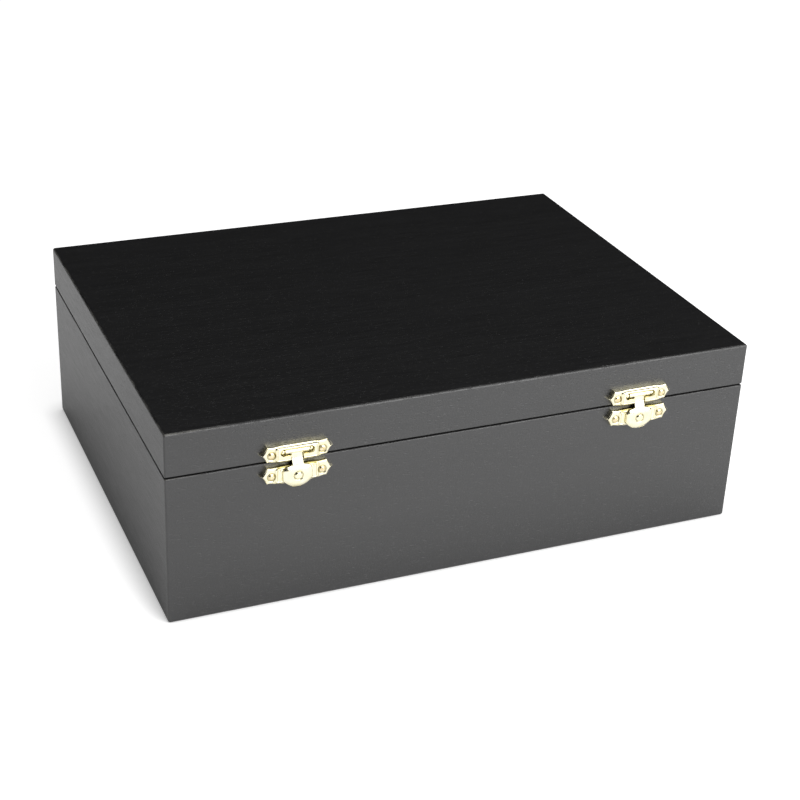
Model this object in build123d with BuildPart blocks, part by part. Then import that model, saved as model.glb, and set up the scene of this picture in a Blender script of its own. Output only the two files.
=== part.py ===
"""Black-painted wooden music box with a hinged lid, two brass catches and a comb movement.

Millimetres, +Z up, +X to the right, the front faces -Y. The origin is on the table, under
the middle of the box.
"""

import math
import os

from build123d import *

os.makedirs("parts", exist_ok=True)

# Wooden case and lid
case_width = 272.0
case_depth = 204.0
case_height = 90.0
lid_height = 20.5
seam_gap = 0.6
wall = 8.0
corner_round = 0.8
seam_round = 0.6
base_round = 1.2
lid_top_round = 1.2
lid_top_thick = 5.0
panel_thick = 4.0
panel_groove = 3.0
panel_play = 0.1
key_well_height = 18.0

# Partitions and the movement's chamber, in the rear right corner
partition_thick = 4.0
partition_drop = 3.0
chamber_width = 68.0
chamber_depth = 62.0
cleat_size = 5.0
cover_thick = 2.0
cover_clearance = 2.0
cover_play = 0.3
cover_screw_inset = 6.0

# Felt linings
felt_thick = 1.2
felt_play = 0.3
lid_felt_thick = 1.0

# Screws: shank and head of each size, and the slack of a shank in its hole
screw_slack = 0.05
wood_screw_radius = 1.0
wood_screw_head_radius = 1.9
wood_screw_head_height = 1.0
wood_screw_length = 7.0
machine_screw_radius = 1.0
machine_screw_head_radius = 1.9
machine_screw_head_height = 1.2
small_screw_head_radius = 1.6
slot_width = 0.5
slot_depth = 0.5

# Butt hinges let into the seam
hinge_end_inset = 56.0
hinge_width = 32.0
hinge_leaf_thick = 1.0
hinge_leaf_depth = 7.0
knuckle_radius = 1.9
knuckle_gap = 0.3
middle_knuckle = 15.0
hinge_pin_radius = 0.9
hinge_pin_slack = 0.06
hinge_screw_spacing = 22.0
hinge_screw_inset = 4.0
hardware_stand_off = 4.5

# Catches: heights are measured from the seam, rises from the wood of the front
catch_end_inset = 55.5
plate_tip = 16.0
plate_corner = 13.0
plate_belly = 6.5
plate_scallop = 0.4
plate_hollow = 0.6
upper_plate_low = 1.1
upper_plate_high = 8.3
lower_plate_low = -9.0
lower_plate_high = -1.9
plate_rise = 1.6
field_width = 18.5
field_margin = 0.9
field_round = 1.0
field_rise = 2.5
lower_field_rise = 2.2
pocket_width = 14.0
pocket_height = 3.2
pocket_floor = 0.6
rod_height = 5.0
rod_rise = 1.5
rod_radius = 0.6
rod_slack = 0.1
rod_seat = 0.6
channel_floor = 1.0
channel_slack = 0.4
tongue_thick = 0.9
tongue_back = 1.3
tongue_head_width = 12.6
tongue_neck_width = 4.9
tongue_bend_top = 1.6
tongue_bend_low = -1.6
pad_back = 2.7
pad_width = 13.0
pad_top = -1.4
pad_low = -12.0
pad_shoulder = 3.0
pad_edge = 0.6
button_height = -7.0
button_radius = 2.0
button_dish = 0.5
stud_radius = 1.8
stud_slack = 0.2
catch_pin_spacing = 22.2
upper_pin_height = 4.1
lower_pin_height = -5.8
pin_head_radius = 1.45
pin_head_rise = 0.7
pin_shank_radius = 0.6
pin_length = 6.0

# Movement bed and the upright winding arbor
arbor_to_side = 50.0
arbor_to_rear = 32.0
bed_thick = 2.5
bed_left = 15.5
bed_right = 42.0
bed_front = 27.0
bed_rear = 29.5
bed_screw_inset = 4.5
bed_rear_screw_reach = 8.0
arbor_radius = 2.0
arbor_slack = 0.1
shaft_fit = 0.02
housing_radius = 14.0
housing_height = 11.0
housing_wall = 1.2
spring_first_radius = 3.2
spring_pitch = 1.5
spring_half_turns = 11
spring_strip = 0.5
spring_height = 8.0
key_low = 3.0
key_wing_radius = 4.5
key_wing_offset = 6.5
key_wing_bore = 1.8
key_thick = 1.8
key_hub_radius = 3.2
key_hub_top = 15.0
key_hub_lift = 0.5
arbor_foot = 6.0
arbor_well_radius = 4.5

# Toothed crown wheel on the arbor, its ratchet and click
crown_gap = 0.5
crown_radius = 12.8
crown_thick = 1.5
crown_pitch_radius = 11.0
crown_teeth = 36
crown_tooth_height = 1.4
crown_tooth_width = 0.5
crown_tooth_length = 2.4
ratchet_radius = 5.0
ratchet_root = 4.3
ratchet_teeth = 20
ratchet_tooth_width = 0.5
ratchet_thick = 1.0
click_pivot_reach = 8.0
click_thick = 0.8
click_width = 1.4
click_slack = 0.3
clip_radius = 3.2
clip_thick = 0.6

# Pinned cylinder on its level arbor
pinion_teeth = 12
pinion_addendum = 0.6
pinion_dedendum = 0.8
pinion_tooth_width = 0.5
pinion_width = 1.6
mesh_depth = 0.8
cylinder_radius = 6.0
cylinder_wall = 1.0
cylinder_end_wall = 1.5
cylinder_start = 17.0
track_count = 18
track_spacing = 1.0
cylinder_margin = 0.5
pin_rise = 0.7
pin_radius = 0.18
pins_per_track = 4
pin_turn = 97.0
level_arbor_radius = 1.0
level_arbor_slack = 0.1
level_arbor_lead = 9.6
bracket_thick = 1.5
bracket_half_width = 4.0
bracket_margin = 4.0
bracket_foot = 5.0
bracket_gap = 1.0

# Governor: wheel driven by the cylinder, worm spindle and fan
gear_module = 0.5
cylinder_wheel_teeth = 36
governor_pinion_teeth = 12
worm_wheel_teeth = 16
gear_addendum = 0.4
gear_dedendum = 0.6
gear_tooth_width = 0.45
cylinder_wheel_width = 1.2
governor_drop = 25.0
governor_arbor_radius = 0.7
governor_bearing_reach = 25.0
governor_arbor_lead = 0.5
governor_bracket_half = 2.5
worm_reach = 30.0
worm_wheel_width = 1.0
worm_starts = 2
worm_pitch_radius = 1.5
worm_thread_width = 0.4
worm_threads = 5
worm_thread_root = 0.1
spindle_radius = 0.5
spindle_slack = 0.1
spindle_top = 34.0
fan_radius = 6.0
fan_low = 21.5
fan_height = 6.0
fan_blade_thick = 0.4
fan_hub_radius = 1.4
frame_width = 5.0
frame_thick = 2.0
frame_gap = 1.2
frame_low_arm = 4.5
frame_top_arm = 30.5
frame_arm_margin = 2.5
frame_foot = 3.2

# Comb
comb_width = 20.0
comb_thick = 1.5
comb_base_rear = 26.0
comb_base_front = 18.5
comb_tooth_thick = 0.7
comb_tooth_width = 0.7
comb_clearance = 0.3
comb_block_setback = 1.0
comb_screw_spacing = 11.0
comb_screw_depth = 6.0

# Stop lever, which the lid's peg holds down
lever_plane = 22.2
lever_thick = 1.2
lever_pivot_reach = 27.0
lever_pivot_height = 27.5
lever_hub_radius = 2.2
lever_arm_width = 2.4
lever_finger_reach = 5.0
lever_elbow_height = 31.5
lever_top_height = 40.0
lever_stop_low = 23.0
lever_pin_radius = 0.8
lever_pin_slack = 0.1
lever_post_width = 4.5
lever_post_depth = 3.6
lever_post_gap = 0.5
lever_slot_width = 3.2
lever_slot_front = 3.0
lever_slot_rear = 10.0
peg_radius = 3.0
peg_gap = 0.3
peg_play = 0.4

# Places that follow from the sizes above
half_width = case_width / 2
half_depth = case_depth / 2
seam_height = case_height - lid_height
lid_low = seam_height + seam_gap
lid_under = case_height - lid_top_thick
inner_half_width = half_width - wall
inner_half_depth = half_depth - wall
floor_top = key_well_height + panel_thick
long_partition_x = inner_half_width - chamber_width - partition_thick / 2
cross_partition_y = inner_half_depth - chamber_depth - partition_thick / 2
partition_top = seam_height - partition_drop
chamber_left = long_partition_x + partition_thick / 2
chamber_front = cross_partition_y + partition_thick / 2
hinge_axis_y = half_depth + hardware_stand_off - knuckle_radius
hinge_axis_z = seam_height + seam_gap / 2
arbor_x = inner_half_width - arbor_to_side
arbor_y = inner_half_depth - arbor_to_rear
bed_top = floor_top + bed_thick
housing_top = bed_top + housing_height
crown_low = housing_top + crown_gap
crown_top = crown_low + crown_thick
pinion_pitch_radius = crown_pitch_radius * pinion_teeth / crown_teeth
level_axis_z = crown_top + mesh_depth + pinion_pitch_radius
cylinder_left = arbor_x + cylinder_start
cylinder_length = track_count * track_spacing + 2 * cylinder_margin
cylinder_right = cylinder_left + cylinder_length
outer_bracket_x = cylinder_right + cylinder_wheel_width + bracket_gap
first_track_x = cylinder_left + cylinder_margin + track_spacing / 2
track_spots = [first_track_x + track * track_spacing for track in range(track_count)]
pin_circle = cylinder_radius + pin_rise
cylinder_wheel_radius = gear_module * cylinder_wheel_teeth / 2
governor_pinion_radius = gear_module * governor_pinion_teeth / 2
worm_wheel_radius = gear_module * worm_wheel_teeth / 2
mesh_distance = cylinder_wheel_radius + governor_pinion_radius
governor_y = arbor_y + mesh_distance * math.cos(math.radians(governor_drop))
governor_z = level_axis_z - mesh_distance * math.sin(math.radians(governor_drop))
worm_x = arbor_x + worm_reach
worm_y = governor_y + worm_wheel_radius + worm_pitch_radius
thread_pitch = math.pi * gear_module
worm_lead = thread_pitch * worm_starts
frame_post_y = worm_y + fan_radius + frame_gap
frame_low_z = bed_top + frame_low_arm
frame_top_z = bed_top + frame_top_arm
cover_height = frame_top_z + frame_thick + cover_clearance
lever_x = arbor_x + lever_plane
lever_pivot_y = arbor_y + lever_pivot_reach
lever_pivot_z = bed_top + lever_pivot_height
lever_finger_y = arbor_y + lever_finger_reach
lever_top_z = bed_top + lever_top_height


def finish(piece, name):
    """Label one finished piece and write it to its own file."""
    piece.part.label = name
    export_step(piece.part, f"parts/{name}.step")


def block(x_low, x_high, y_low, y_high, z_low, z_high, mode=Mode.ADD):
    """A rectangular block between six limits."""
    with Locations(((x_low + x_high) / 2, (y_low + y_high) / 2, (z_low + z_high) / 2)):
        Box(x_high - x_low, y_high - y_low, z_high - z_low, mode=mode)


def upright(x, y, z_low, z_high, radius, mode=Mode.ADD):
    """A round bar or bore that stands on end."""
    with Locations((x, y, (z_low + z_high) / 2)):
        Cylinder(radius, z_high - z_low, mode=mode)


def crosswise(x_low, x_high, y, z, radius, mode=Mode.ADD):
    """A round bar or bore that lies from left to right."""
    with Locations(((x_low + x_high) / 2, y, z)):
        Cylinder(radius, x_high - x_low, rotation=(0, 90, 0), mode=mode)


def teeth(root, tip, width, count, first):
    """A toothed outline: a disc with straight narrow teeth, the first at the angle given."""
    Circle(root)
    with PolarLocations((root + tip) / 2 - width / 2, count, start_angle=first):
        Rectangle(tip - root + width, width)


def level_plane(x, y, z):
    """A plane across a left-to-right axis: its own axes are the box's Y and Z."""
    return Plane(origin=(x, y, z), x_dir=(0, 1, 0), z_dir=(1, 0, 0))


def front_plane(x, rise=0.0):
    """A plane on the front face, at the seam: its own axes are the box's X and Z."""
    return Plane(origin=(x, -half_depth - rise, seam_height), x_dir=(1, 0, 0), z_dir=(0, -1, 0))


hinge_sides = {"left": hinge_end_inset - half_width, "right": half_width - hinge_end_inset}
catch_sides = {"left": catch_end_inset - half_width, "right": half_width - catch_end_inset}
catch_pin_offsets = (-catch_pin_spacing / 2, catch_pin_spacing / 2)
hinge_screw_offsets = (-hinge_screw_spacing / 2, hinge_screw_spacing / 2)
hinge_screw_y = half_depth - hinge_screw_inset


def mitre_wedge(side):
    """The plan of the part of a frame that belongs to one board, from mitre to mitre."""
    out_x, out_y = half_width + wall, half_depth + wall
    in_x, in_y = inner_half_width - wall, inner_half_depth - wall
    plans = {
        "front": [(-out_x, -out_y), (out_x, -out_y), (in_x, -in_y), (-in_x, -in_y)],
        "back": [(out_x, out_y), (-out_x, out_y), (-in_x, in_y), (in_x, in_y)],
        "left": [(-out_x, out_y), (-out_x, -out_y), (-in_x, -in_y), (-in_x, in_y)],
        "right": [(out_x, -out_y), (out_x, out_y), (in_x, in_y), (in_x, -in_y)],
    }
    return plans[side]


def frame_board(side, low, high, low_round, high_round):
    """One mitred board of the case or lid, with its outer arrises rounded."""
    with BuildPart() as board:
        with BuildSketch(Plane.XY.offset(low)):
            RectangleRounded(case_width, case_depth, corner_round)
            Rectangle(2 * inner_half_width, 2 * inner_half_depth, mode=Mode.SUBTRACT)
        extrude(amount=high - low)
        if low_round:
            fillet(board.faces().sort_by(Axis.Z)[0].outer_wire().edges(), low_round)
        if high_round:
            fillet(board.faces().sort_by(Axis.Z)[-1].outer_wire().edges(), high_round)
        with BuildSketch(Plane.XY.offset(low)):
            Polygon(*mitre_wedge(side))
        extrude(amount=high - low, mode=Mode.INTERSECT)
    return board


def cut_hinge_seats(low, high, screw_low, screw_high):
    """Two shallow seats for hinge leaves, with a hole for each screw."""
    for x in hinge_sides.values():
        half = hinge_width / 2
        block(x - half, x + half, half_depth - hinge_leaf_depth, half_depth + wall, low, high, Mode.SUBTRACT)
        for offset in hinge_screw_offsets:
            hole = wood_screw_radius + screw_slack
            upright(x + offset, hinge_screw_y, screw_low, screw_high, hole, Mode.SUBTRACT)


def cut_catch_pin_holes(height):
    """Holes for the catch nails in the front of the case or the lid."""
    for x in catch_sides.values():
        for offset in catch_pin_offsets:
            hole, depth = pin_shank_radius + screw_slack, pin_length + screw_slack
            with Locations((x + offset, -half_depth + pin_length / 2, seam_height + height)):
                Cylinder(hole, depth, rotation=(90, 0, 0), mode=Mode.SUBTRACT)


# The case: four mitred boards, grooved for the bottom panel
for side in ("front", "back", "left", "right"):
    with BuildPart() as case_board:
        add(frame_board(side, 0, seam_height, base_round, seam_round).part)
        groove_x = inner_half_width + panel_groove + panel_play
        groove_y = inner_half_depth + panel_groove + panel_play
        block(-groove_x, groove_x, -groove_y, groove_y, key_well_height, floor_top, Mode.SUBTRACT)
        if side == "front":
            cut_catch_pin_holes(lower_pin_height)
        if side == "back":
            seat_low = seam_height - hinge_leaf_thick
            cut_hinge_seats(seat_low, seam_height, seat_low - wood_screw_length, seat_low)
    finish(case_board, f"{side}_board")

# Screws that hold the movement down, from under the bottom panel
movement_screw_spots = (
    (arbor_x - bed_left + bed_screw_inset, arbor_y - bed_front + bed_screw_inset),
    (arbor_x + bed_right - bed_screw_inset, arbor_y - bed_front + bed_screw_inset),
    (arbor_x + bed_rear_screw_reach, arbor_y + bed_rear - bed_screw_inset),
)

with BuildPart() as bottom_panel:
    panel_x = inner_half_width + panel_groove
    panel_y = inner_half_depth + panel_groove
    block(-panel_x, panel_x, -panel_y, panel_y, key_well_height, floor_top)
    upright(arbor_x, arbor_y, key_well_height, floor_top, arbor_well_radius, Mode.SUBTRACT)
    for x, y in movement_screw_spots:
        hole = machine_screw_radius + screw_slack
        upright(x, y, key_well_height, floor_top, hole, Mode.SUBTRACT)
finish(bottom_panel, "bottom_panel")

with BuildPart() as long_partition:
    half = partition_thick / 2
    left, right = long_partition_x - half, long_partition_x + half
    block(left, right, -inner_half_depth, inner_half_depth, floor_top, partition_top)
finish(long_partition, "long_partition")

with BuildPart() as cross_partition:
    half = partition_thick / 2
    front, rear = cross_partition_y - half, cross_partition_y + half
    block(chamber_left, inner_half_width, front, rear, floor_top, partition_top)
finish(cross_partition, "cross_partition")

# Clear cover on two cleats, with a screw near each corner
cleat_low = cover_height - cleat_size
cover_screw_spots = [
    (x, y)
    for x in (chamber_left + cleat_size / 2, inner_half_width - cleat_size / 2)
    for y in (chamber_front + cover_screw_inset, inner_half_depth - cover_screw_inset)
]

with BuildPart() as cover_cleats:
    for left in (chamber_left, inner_half_width - cleat_size):
        block(left, left + cleat_size, chamber_front, inner_half_depth, cleat_low, cover_height)
    for x, y in cover_screw_spots:
        upright(x, y, cleat_low, cover_height, wood_screw_radius + screw_slack, Mode.SUBTRACT)
finish(cover_cleats, "cover_cleats")

cover_top = cover_height + cover_thick
with BuildPart() as clear_cover:
    cover_left, cover_right = chamber_left + cover_play, inner_half_width - cover_play
    cover_front, cover_rear = chamber_front + cover_play, inner_half_depth - cover_play
    block(cover_left, cover_right, cover_front, cover_rear, cover_height, cover_top)
    slot_left = lever_x + lever_thick / 2 - lever_slot_width / 2
    slot_front = lever_finger_y - lever_slot_front
    slot_rear = lever_finger_y + lever_slot_rear
    block(
        slot_left, slot_left + lever_slot_width, slot_front, slot_rear, cover_height, cover_top, Mode.SUBTRACT
    )
    for x, y in cover_screw_spots:
        upright(x, y, cover_height, cover_top, wood_screw_radius + screw_slack, Mode.SUBTRACT)
finish(clear_cover, "clear_cover")


def screw(x, y, seat, shank, radius, head_radius, head_height, upward):
    """A slotted screw: its head on the seat, its shank running the other way."""
    head_end = seat + head_height * upward
    slot_floor = head_end - slot_depth * upward
    upright(x, y, min(seat, seat - shank * upward), max(seat, seat - shank * upward), radius)
    upright(x, y, min(seat, head_end), max(seat, head_end), head_radius)
    low, high = min(slot_floor, head_end), max(slot_floor, head_end)
    block(
        x - head_radius, x + head_radius, y - slot_width / 2, y + slot_width / 2, low, high, Mode.SUBTRACT
    )


with BuildPart() as cover_screws:
    for x, y in cover_screw_spots:
        shank = cover_thick + cleat_size - screw_slack
        screw(x, y, cover_top, shank, wood_screw_radius, wood_screw_head_radius, wood_screw_head_height, 1)
finish(cover_screws, "cover_screws")

with BuildPart() as movement_screws:
    for x, y in movement_screw_spots:
        shank = panel_thick + bed_thick
        screw(
            x, y, key_well_height, shank, machine_screw_radius,
            machine_screw_head_radius, machine_screw_head_height, -1,
        )
finish(movement_screws, "movement_screws")

# Felt on the floors of the two open compartments
felt_top = floor_top + felt_thick
with BuildPart() as floor_felts:
    front, rear = -inner_half_depth + felt_play, inner_half_depth - felt_play
    left, right = -inner_half_width + felt_play, long_partition_x - partition_thick / 2 - felt_play
    block(left, right, front, rear, floor_top, felt_top)
    left, right = chamber_left + felt_play, inner_half_width - felt_play
    rear = cross_partition_y - partition_thick / 2 - felt_play
    block(left, right, front, rear, floor_top, felt_top)
finish(floor_felts, "floor_felts")

# The lid: four mitred rails under a top panel
for side in ("front", "back", "left", "right"):
    with BuildPart() as lid_rail:
        add(frame_board(side, lid_low, lid_under, seam_round, 0).part)
        if side == "front":
            cut_catch_pin_holes(upper_pin_height)
        if side == "back":
            seat_high = lid_low + hinge_leaf_thick
            cut_hinge_seats(lid_low, seat_high, seat_high, seat_high + wood_screw_length)
    finish(lid_rail, f"lid_{side}_rail")

with BuildPart() as lid_top_panel:
    with BuildSketch(Plane.XY.offset(lid_under)):
        RectangleRounded(case_width, case_depth, corner_round)
    extrude(amount=lid_top_thick)
    fillet(lid_top_panel.faces().sort_by(Axis.Z)[-1].outer_wire().edges(), lid_top_round)
finish(lid_top_panel, "lid_top_panel")

peg_x = lever_x + lever_thick / 2
with BuildPart() as lid_felt:
    x_reach, y_reach = inner_half_width - felt_play, inner_half_depth - felt_play
    block(-x_reach, x_reach, -y_reach, y_reach, lid_under - lid_felt_thick, lid_under)
    upright(
        peg_x, lever_finger_y, lid_under - lid_felt_thick, lid_under, peg_radius + peg_play, Mode.SUBTRACT
    )
finish(lid_felt, "lid_felt")

with BuildPart() as lid_peg:
    upright(peg_x, lever_finger_y, lever_top_z + peg_gap, lid_under, peg_radius)
finish(lid_peg, "lid_peg")

# Hinges: the case leaf holds the two outer knuckles, the lid leaf the middle one
outer_knuckle_start = middle_knuckle / 2 + knuckle_gap
hinge_half = hinge_width / 2
leaf_front = half_depth - hinge_leaf_depth


def cut_leaf_screw_holes(x, low, high):
    """Holes through a hinge leaf, where its screws pass."""
    for offset in hinge_screw_offsets:
        hole = wood_screw_radius + screw_slack
        upright(x + offset, hinge_screw_y, low, high, hole, Mode.SUBTRACT)


for name, x in hinge_sides.items():
    spans = ((x - hinge_half, x - outer_knuckle_start), (x + outer_knuckle_start, x + hinge_half))
    leaf_low = seam_height - hinge_leaf_thick
    with BuildPart() as case_leaf:
        block(x - hinge_half, x + hinge_half, leaf_front, half_depth, leaf_low, seam_height)
        for start, end in spans:
            block(start, end, half_depth, hinge_axis_y, leaf_low, seam_height)
            crosswise(start, end, hinge_axis_y, hinge_axis_z, knuckle_radius)
        bore = hinge_pin_radius + hinge_pin_slack
        crosswise(x - hinge_half, x + hinge_half, hinge_axis_y, hinge_axis_z, bore, Mode.SUBTRACT)
        cut_leaf_screw_holes(x, leaf_low, seam_height)
    finish(case_leaf, f"{name}_hinge_case_leaf")

    leaf_high = lid_low + hinge_leaf_thick
    start, end = x - middle_knuckle / 2, x + middle_knuckle / 2
    with BuildPart() as lid_leaf:
        block(x - hinge_half, x + hinge_half, leaf_front, half_depth, lid_low, leaf_high)
        block(start, end, half_depth, hinge_axis_y, lid_low, leaf_high)
        crosswise(start, end, hinge_axis_y, hinge_axis_z, knuckle_radius)
        crosswise(start, end, hinge_axis_y, hinge_axis_z, bore, Mode.SUBTRACT)
        cut_leaf_screw_holes(x, lid_low, leaf_high)
    finish(lid_leaf, f"{name}_hinge_lid_leaf")

with BuildPart() as hinge_pins:
    for x in hinge_sides.values():
        crosswise(x - hinge_half, x + hinge_half, hinge_axis_y, hinge_axis_z, hinge_pin_radius)
finish(hinge_pins, "hinge_pins")

# Flush screws of the hinges; they end level with the leaf so that the seam can close
with BuildPart() as hinge_case_screws:
    for x in hinge_sides.values():
        for offset in hinge_screw_offsets:
            low = seam_height - hinge_leaf_thick - wood_screw_length
            upright(x + offset, hinge_screw_y, low, seam_height, wood_screw_radius)
            block(
                x + offset - wood_screw_radius, x + offset + wood_screw_radius,
                hinge_screw_y - slot_width / 2, hinge_screw_y + slot_width / 2,
                seam_height - slot_depth, seam_height, Mode.SUBTRACT,
            )
finish(hinge_case_screws, "hinge_case_screws")

with BuildPart() as hinge_lid_screws:
    for x in hinge_sides.values():
        for offset in hinge_screw_offsets:
            high = lid_low + hinge_leaf_thick + wood_screw_length
            upright(x + offset, hinge_screw_y, lid_low, high, wood_screw_radius)
            block(
                x + offset - wood_screw_radius, x + offset + wood_screw_radius,
                hinge_screw_y - slot_width / 2, hinge_screw_y + slot_width / 2,
                lid_low, lid_low + slot_depth, Mode.SUBTRACT,
            )
finish(hinge_lid_screws, "hinge_lid_screws")


def plate_outline(low, high):
    """The right half of a stamped plate's edge: scalloped, with a hollow-sided point at the end."""
    middle = (low + high) / 2
    end_run, end_rise = plate_tip - plate_corner, middle - low
    slope = math.hypot(end_run, end_rise)
    hollow_x = (plate_corner + plate_tip) / 2 - plate_hollow * end_rise / slope
    hollow_up = end_rise / 2 - plate_hollow * end_run / slope
    scallop_x = (plate_belly + plate_corner) / 2
    Line((0, low), (plate_belly, low))
    ThreePointArc((plate_belly, low), (scallop_x, low + plate_scallop), (plate_corner, low))
    ThreePointArc((plate_corner, low), (hollow_x, middle - hollow_up), (plate_tip, middle))
    ThreePointArc((plate_tip, middle), (hollow_x, middle + hollow_up), (plate_corner, high))
    ThreePointArc((plate_corner, high), (scallop_x, high - plate_scallop), (plate_belly, high))
    Line((plate_belly, high), (0, high))


def catch_plate(x, low, high, rise):
    """A stamped plate on the front: a flat scalloped plate with a raised middle field."""
    with BuildPart() as plate:
        with BuildSketch(front_plane(x)):
            with BuildLine():
                plate_outline(low, high)
                mirror(about=Plane.YZ)
            make_face()
        extrude(amount=plate_rise)
        with BuildSketch(front_plane(x)):
            with Locations((0, (low + high) / 2)):
                RectangleRounded(field_width, high - low - 2 * field_margin, field_round)
        extrude(amount=rise)
    return plate


def cut_plate_pin_holes(x, height):
    """The two nail holes of a plate."""
    for offset in catch_pin_offsets:
        with Locations((x + offset, -half_depth - plate_rise / 2, seam_height + height)):
            Cylinder(pin_shank_radius + screw_slack, plate_rise, rotation=(90, 0, 0), mode=Mode.SUBTRACT)


rod_y = -half_depth - rod_rise
rod_z = seam_height + rod_height
pad_front = hardware_stand_off

for name, x in catch_sides.items():
    with BuildPart() as lid_plate:
        add(catch_plate(x, upper_plate_low, upper_plate_high, field_rise).part)
        with BuildSketch(front_plane(x, pocket_floor)):
            with Locations((0, rod_height)):
                RectangleRounded(pocket_width, pocket_height, field_round)
        extrude(amount=field_rise, mode=Mode.SUBTRACT)
        channel_half = tongue_neck_width / 2 + channel_slack
        block(
            x - channel_half, x + channel_half, -half_depth - field_rise, -half_depth - channel_floor,
            seam_height, rod_z, Mode.SUBTRACT,
        )
        seat_reach = pocket_width / 2 + rod_seat + rod_slack
        crosswise(x - seat_reach, x + seat_reach, rod_y, rod_z, rod_radius + rod_slack, Mode.SUBTRACT)
        cut_plate_pin_holes(x, upper_pin_height)
    finish(lid_plate, f"{name}_catch_lid_plate")

    with BuildPart() as case_plate:
        add(catch_plate(x, lower_plate_low, lower_plate_high, lower_field_rise).part)
        with BuildSketch(front_plane(x)):
            with Locations((0, button_height)):
                Circle(stud_radius)
        extrude(amount=pad_back - stud_slack)
        cut_plate_pin_holes(x, lower_pin_height)
    finish(case_plate, f"{name}_catch_case_plate")

    with BuildPart() as tongue:
        # The rod turns in the ends of the lid plate's pocket
        rod_reach = pocket_width / 2 + rod_seat
        crosswise(x - rod_reach, x + rod_reach, rod_y, rod_z, rod_radius)
        # Broad head round the rod
        head_half = tongue_head_width / 2
        block(
            x - head_half, x + head_half, -half_depth - tongue_back - tongue_thick,
            -half_depth - tongue_back, rod_z - rod_radius, rod_z + rod_radius,
        )
        # Neck, bent outwards to pass over the case plate
        with BuildSketch(Plane(origin=(x, -half_depth, seam_height), x_dir=(0, -1, 0), z_dir=(-1, 0, 0))):
            Polygon(
                (tongue_back, rod_height),
                (tongue_back, tongue_bend_top),
                (pad_back, tongue_bend_low),
                (pad_back, pad_low / 2),
                (pad_back + tongue_thick, pad_low / 2),
                (pad_back + tongue_thick, tongue_bend_low),
                (tongue_back + tongue_thick, tongue_bend_top),
                (tongue_back + tongue_thick, rod_height),
            )
        extrude(amount=tongue_neck_width / 2, both=True)
        # Pad with round shoulders and an arched lower edge
        with BuildSketch(front_plane(x, pad_back)):
            with BuildLine():
                pad_half = pad_width / 2
                flat_half = pad_half - pad_shoulder
                shoulder_low = pad_top - pad_shoulder
                low_corner = pad_low + pad_shoulder
                Line((-flat_half, pad_top), (flat_half, pad_top))
                RadiusArc((flat_half, pad_top), (pad_half, shoulder_low), pad_shoulder)
                Line((pad_half, shoulder_low), (pad_half, low_corner))
                ThreePointArc((pad_half, low_corner), (0, pad_low), (-pad_half, low_corner))
                Line((-pad_half, low_corner), (-pad_half, shoulder_low))
                RadiusArc((-pad_half, shoulder_low), (-flat_half, pad_top), pad_shoulder)
            make_face()
        extrude(amount=pad_front - pad_back)
        rim = tongue.faces().sort_by(Axis.Y)[0]
        fillet(rim.outer_wire().edges(), pad_edge)
        # Dished button in the pad
        with BuildSketch(front_plane(x, pad_front)):
            with Locations((0, button_height)):
                Circle(button_radius)
        extrude(amount=-button_dish, mode=Mode.SUBTRACT)
    finish(tongue, f"{name}_catch_tongue")


def catch_nails(height):
    """The four nails of the two plates at one height: a shank in the wood and a domed head."""
    with BuildPart() as nails:
        for x in catch_sides.values():
            for offset in catch_pin_offsets:
                shank = pin_length + plate_rise
                with Locations((x + offset, -half_depth - plate_rise + shank / 2, seam_height + height)):
                    Cylinder(pin_shank_radius, shank, rotation=(90, 0, 0))
                with BuildSketch(front_plane(x + offset, plate_rise)):
                    with Locations((0, height)):
                        Circle(pin_head_radius)
                extrude(amount=pin_head_rise)
    return nails


finish(catch_nails(upper_pin_height), "lid_catch_nails")
finish(catch_nails(lower_pin_height), "case_catch_nails")

# Movement bed: a cast plate with the raised block that carries the comb
comb_left = (cylinder_left + cylinder_right) / 2 - comb_width / 2
comb_right = comb_left + comb_width
comb_low = level_axis_z - comb_thick / 2
comb_high = level_axis_z + comb_thick / 2
comb_rear_y = arbor_y - comb_base_rear
comb_front_y = arbor_y - comb_base_front
comb_middle = (comb_left + comb_right) / 2
comb_screw_y = (comb_rear_y + comb_front_y - comb_block_setback) / 2
comb_screw_spots = [
    (comb_middle - comb_screw_spacing / 2, comb_screw_y),
    (comb_middle + comb_screw_spacing / 2, comb_screw_y),
]
frame_screw_y = frame_post_y + frame_thick + frame_foot / 2
foot_screw_x = (
    cylinder_left - bracket_gap + bracket_foot / 2,
    outer_bracket_x - bracket_foot / 2,
    arbor_x + governor_bearing_reach - bracket_foot / 2,
)
post_left = lever_x - lever_post_gap - lever_post_width
bracket_screw_spots = [
    (foot_screw_x[0], arbor_y),
    (foot_screw_x[1], arbor_y),
    (foot_screw_x[2], governor_y),
    (worm_x, frame_screw_y),
]

with BuildPart() as bedplate:
    bed_left_x, bed_right_x = arbor_x - bed_left, arbor_x + bed_right
    block(bed_left_x, bed_right_x, arbor_y - bed_front, arbor_y + bed_rear, floor_top, bed_top)
    fillet(bedplate.edges().filter_by(Axis.Z), corner_round)
    block(comb_left, comb_right, comb_rear_y, comb_front_y - comb_block_setback, bed_top, comb_low)
    upright(arbor_x, arbor_y, floor_top, bed_top, arbor_radius + arbor_slack, Mode.SUBTRACT)
    for x, y in movement_screw_spots + tuple(bracket_screw_spots):
        upright(x, y, floor_top, bed_top, machine_screw_radius + screw_slack, Mode.SUBTRACT)
    for x, y in comb_screw_spots:
        hole = machine_screw_radius + screw_slack
        upright(x, y, comb_low - comb_screw_depth, comb_low, hole, Mode.SUBTRACT)
finish(bedplate, "bedplate")

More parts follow.
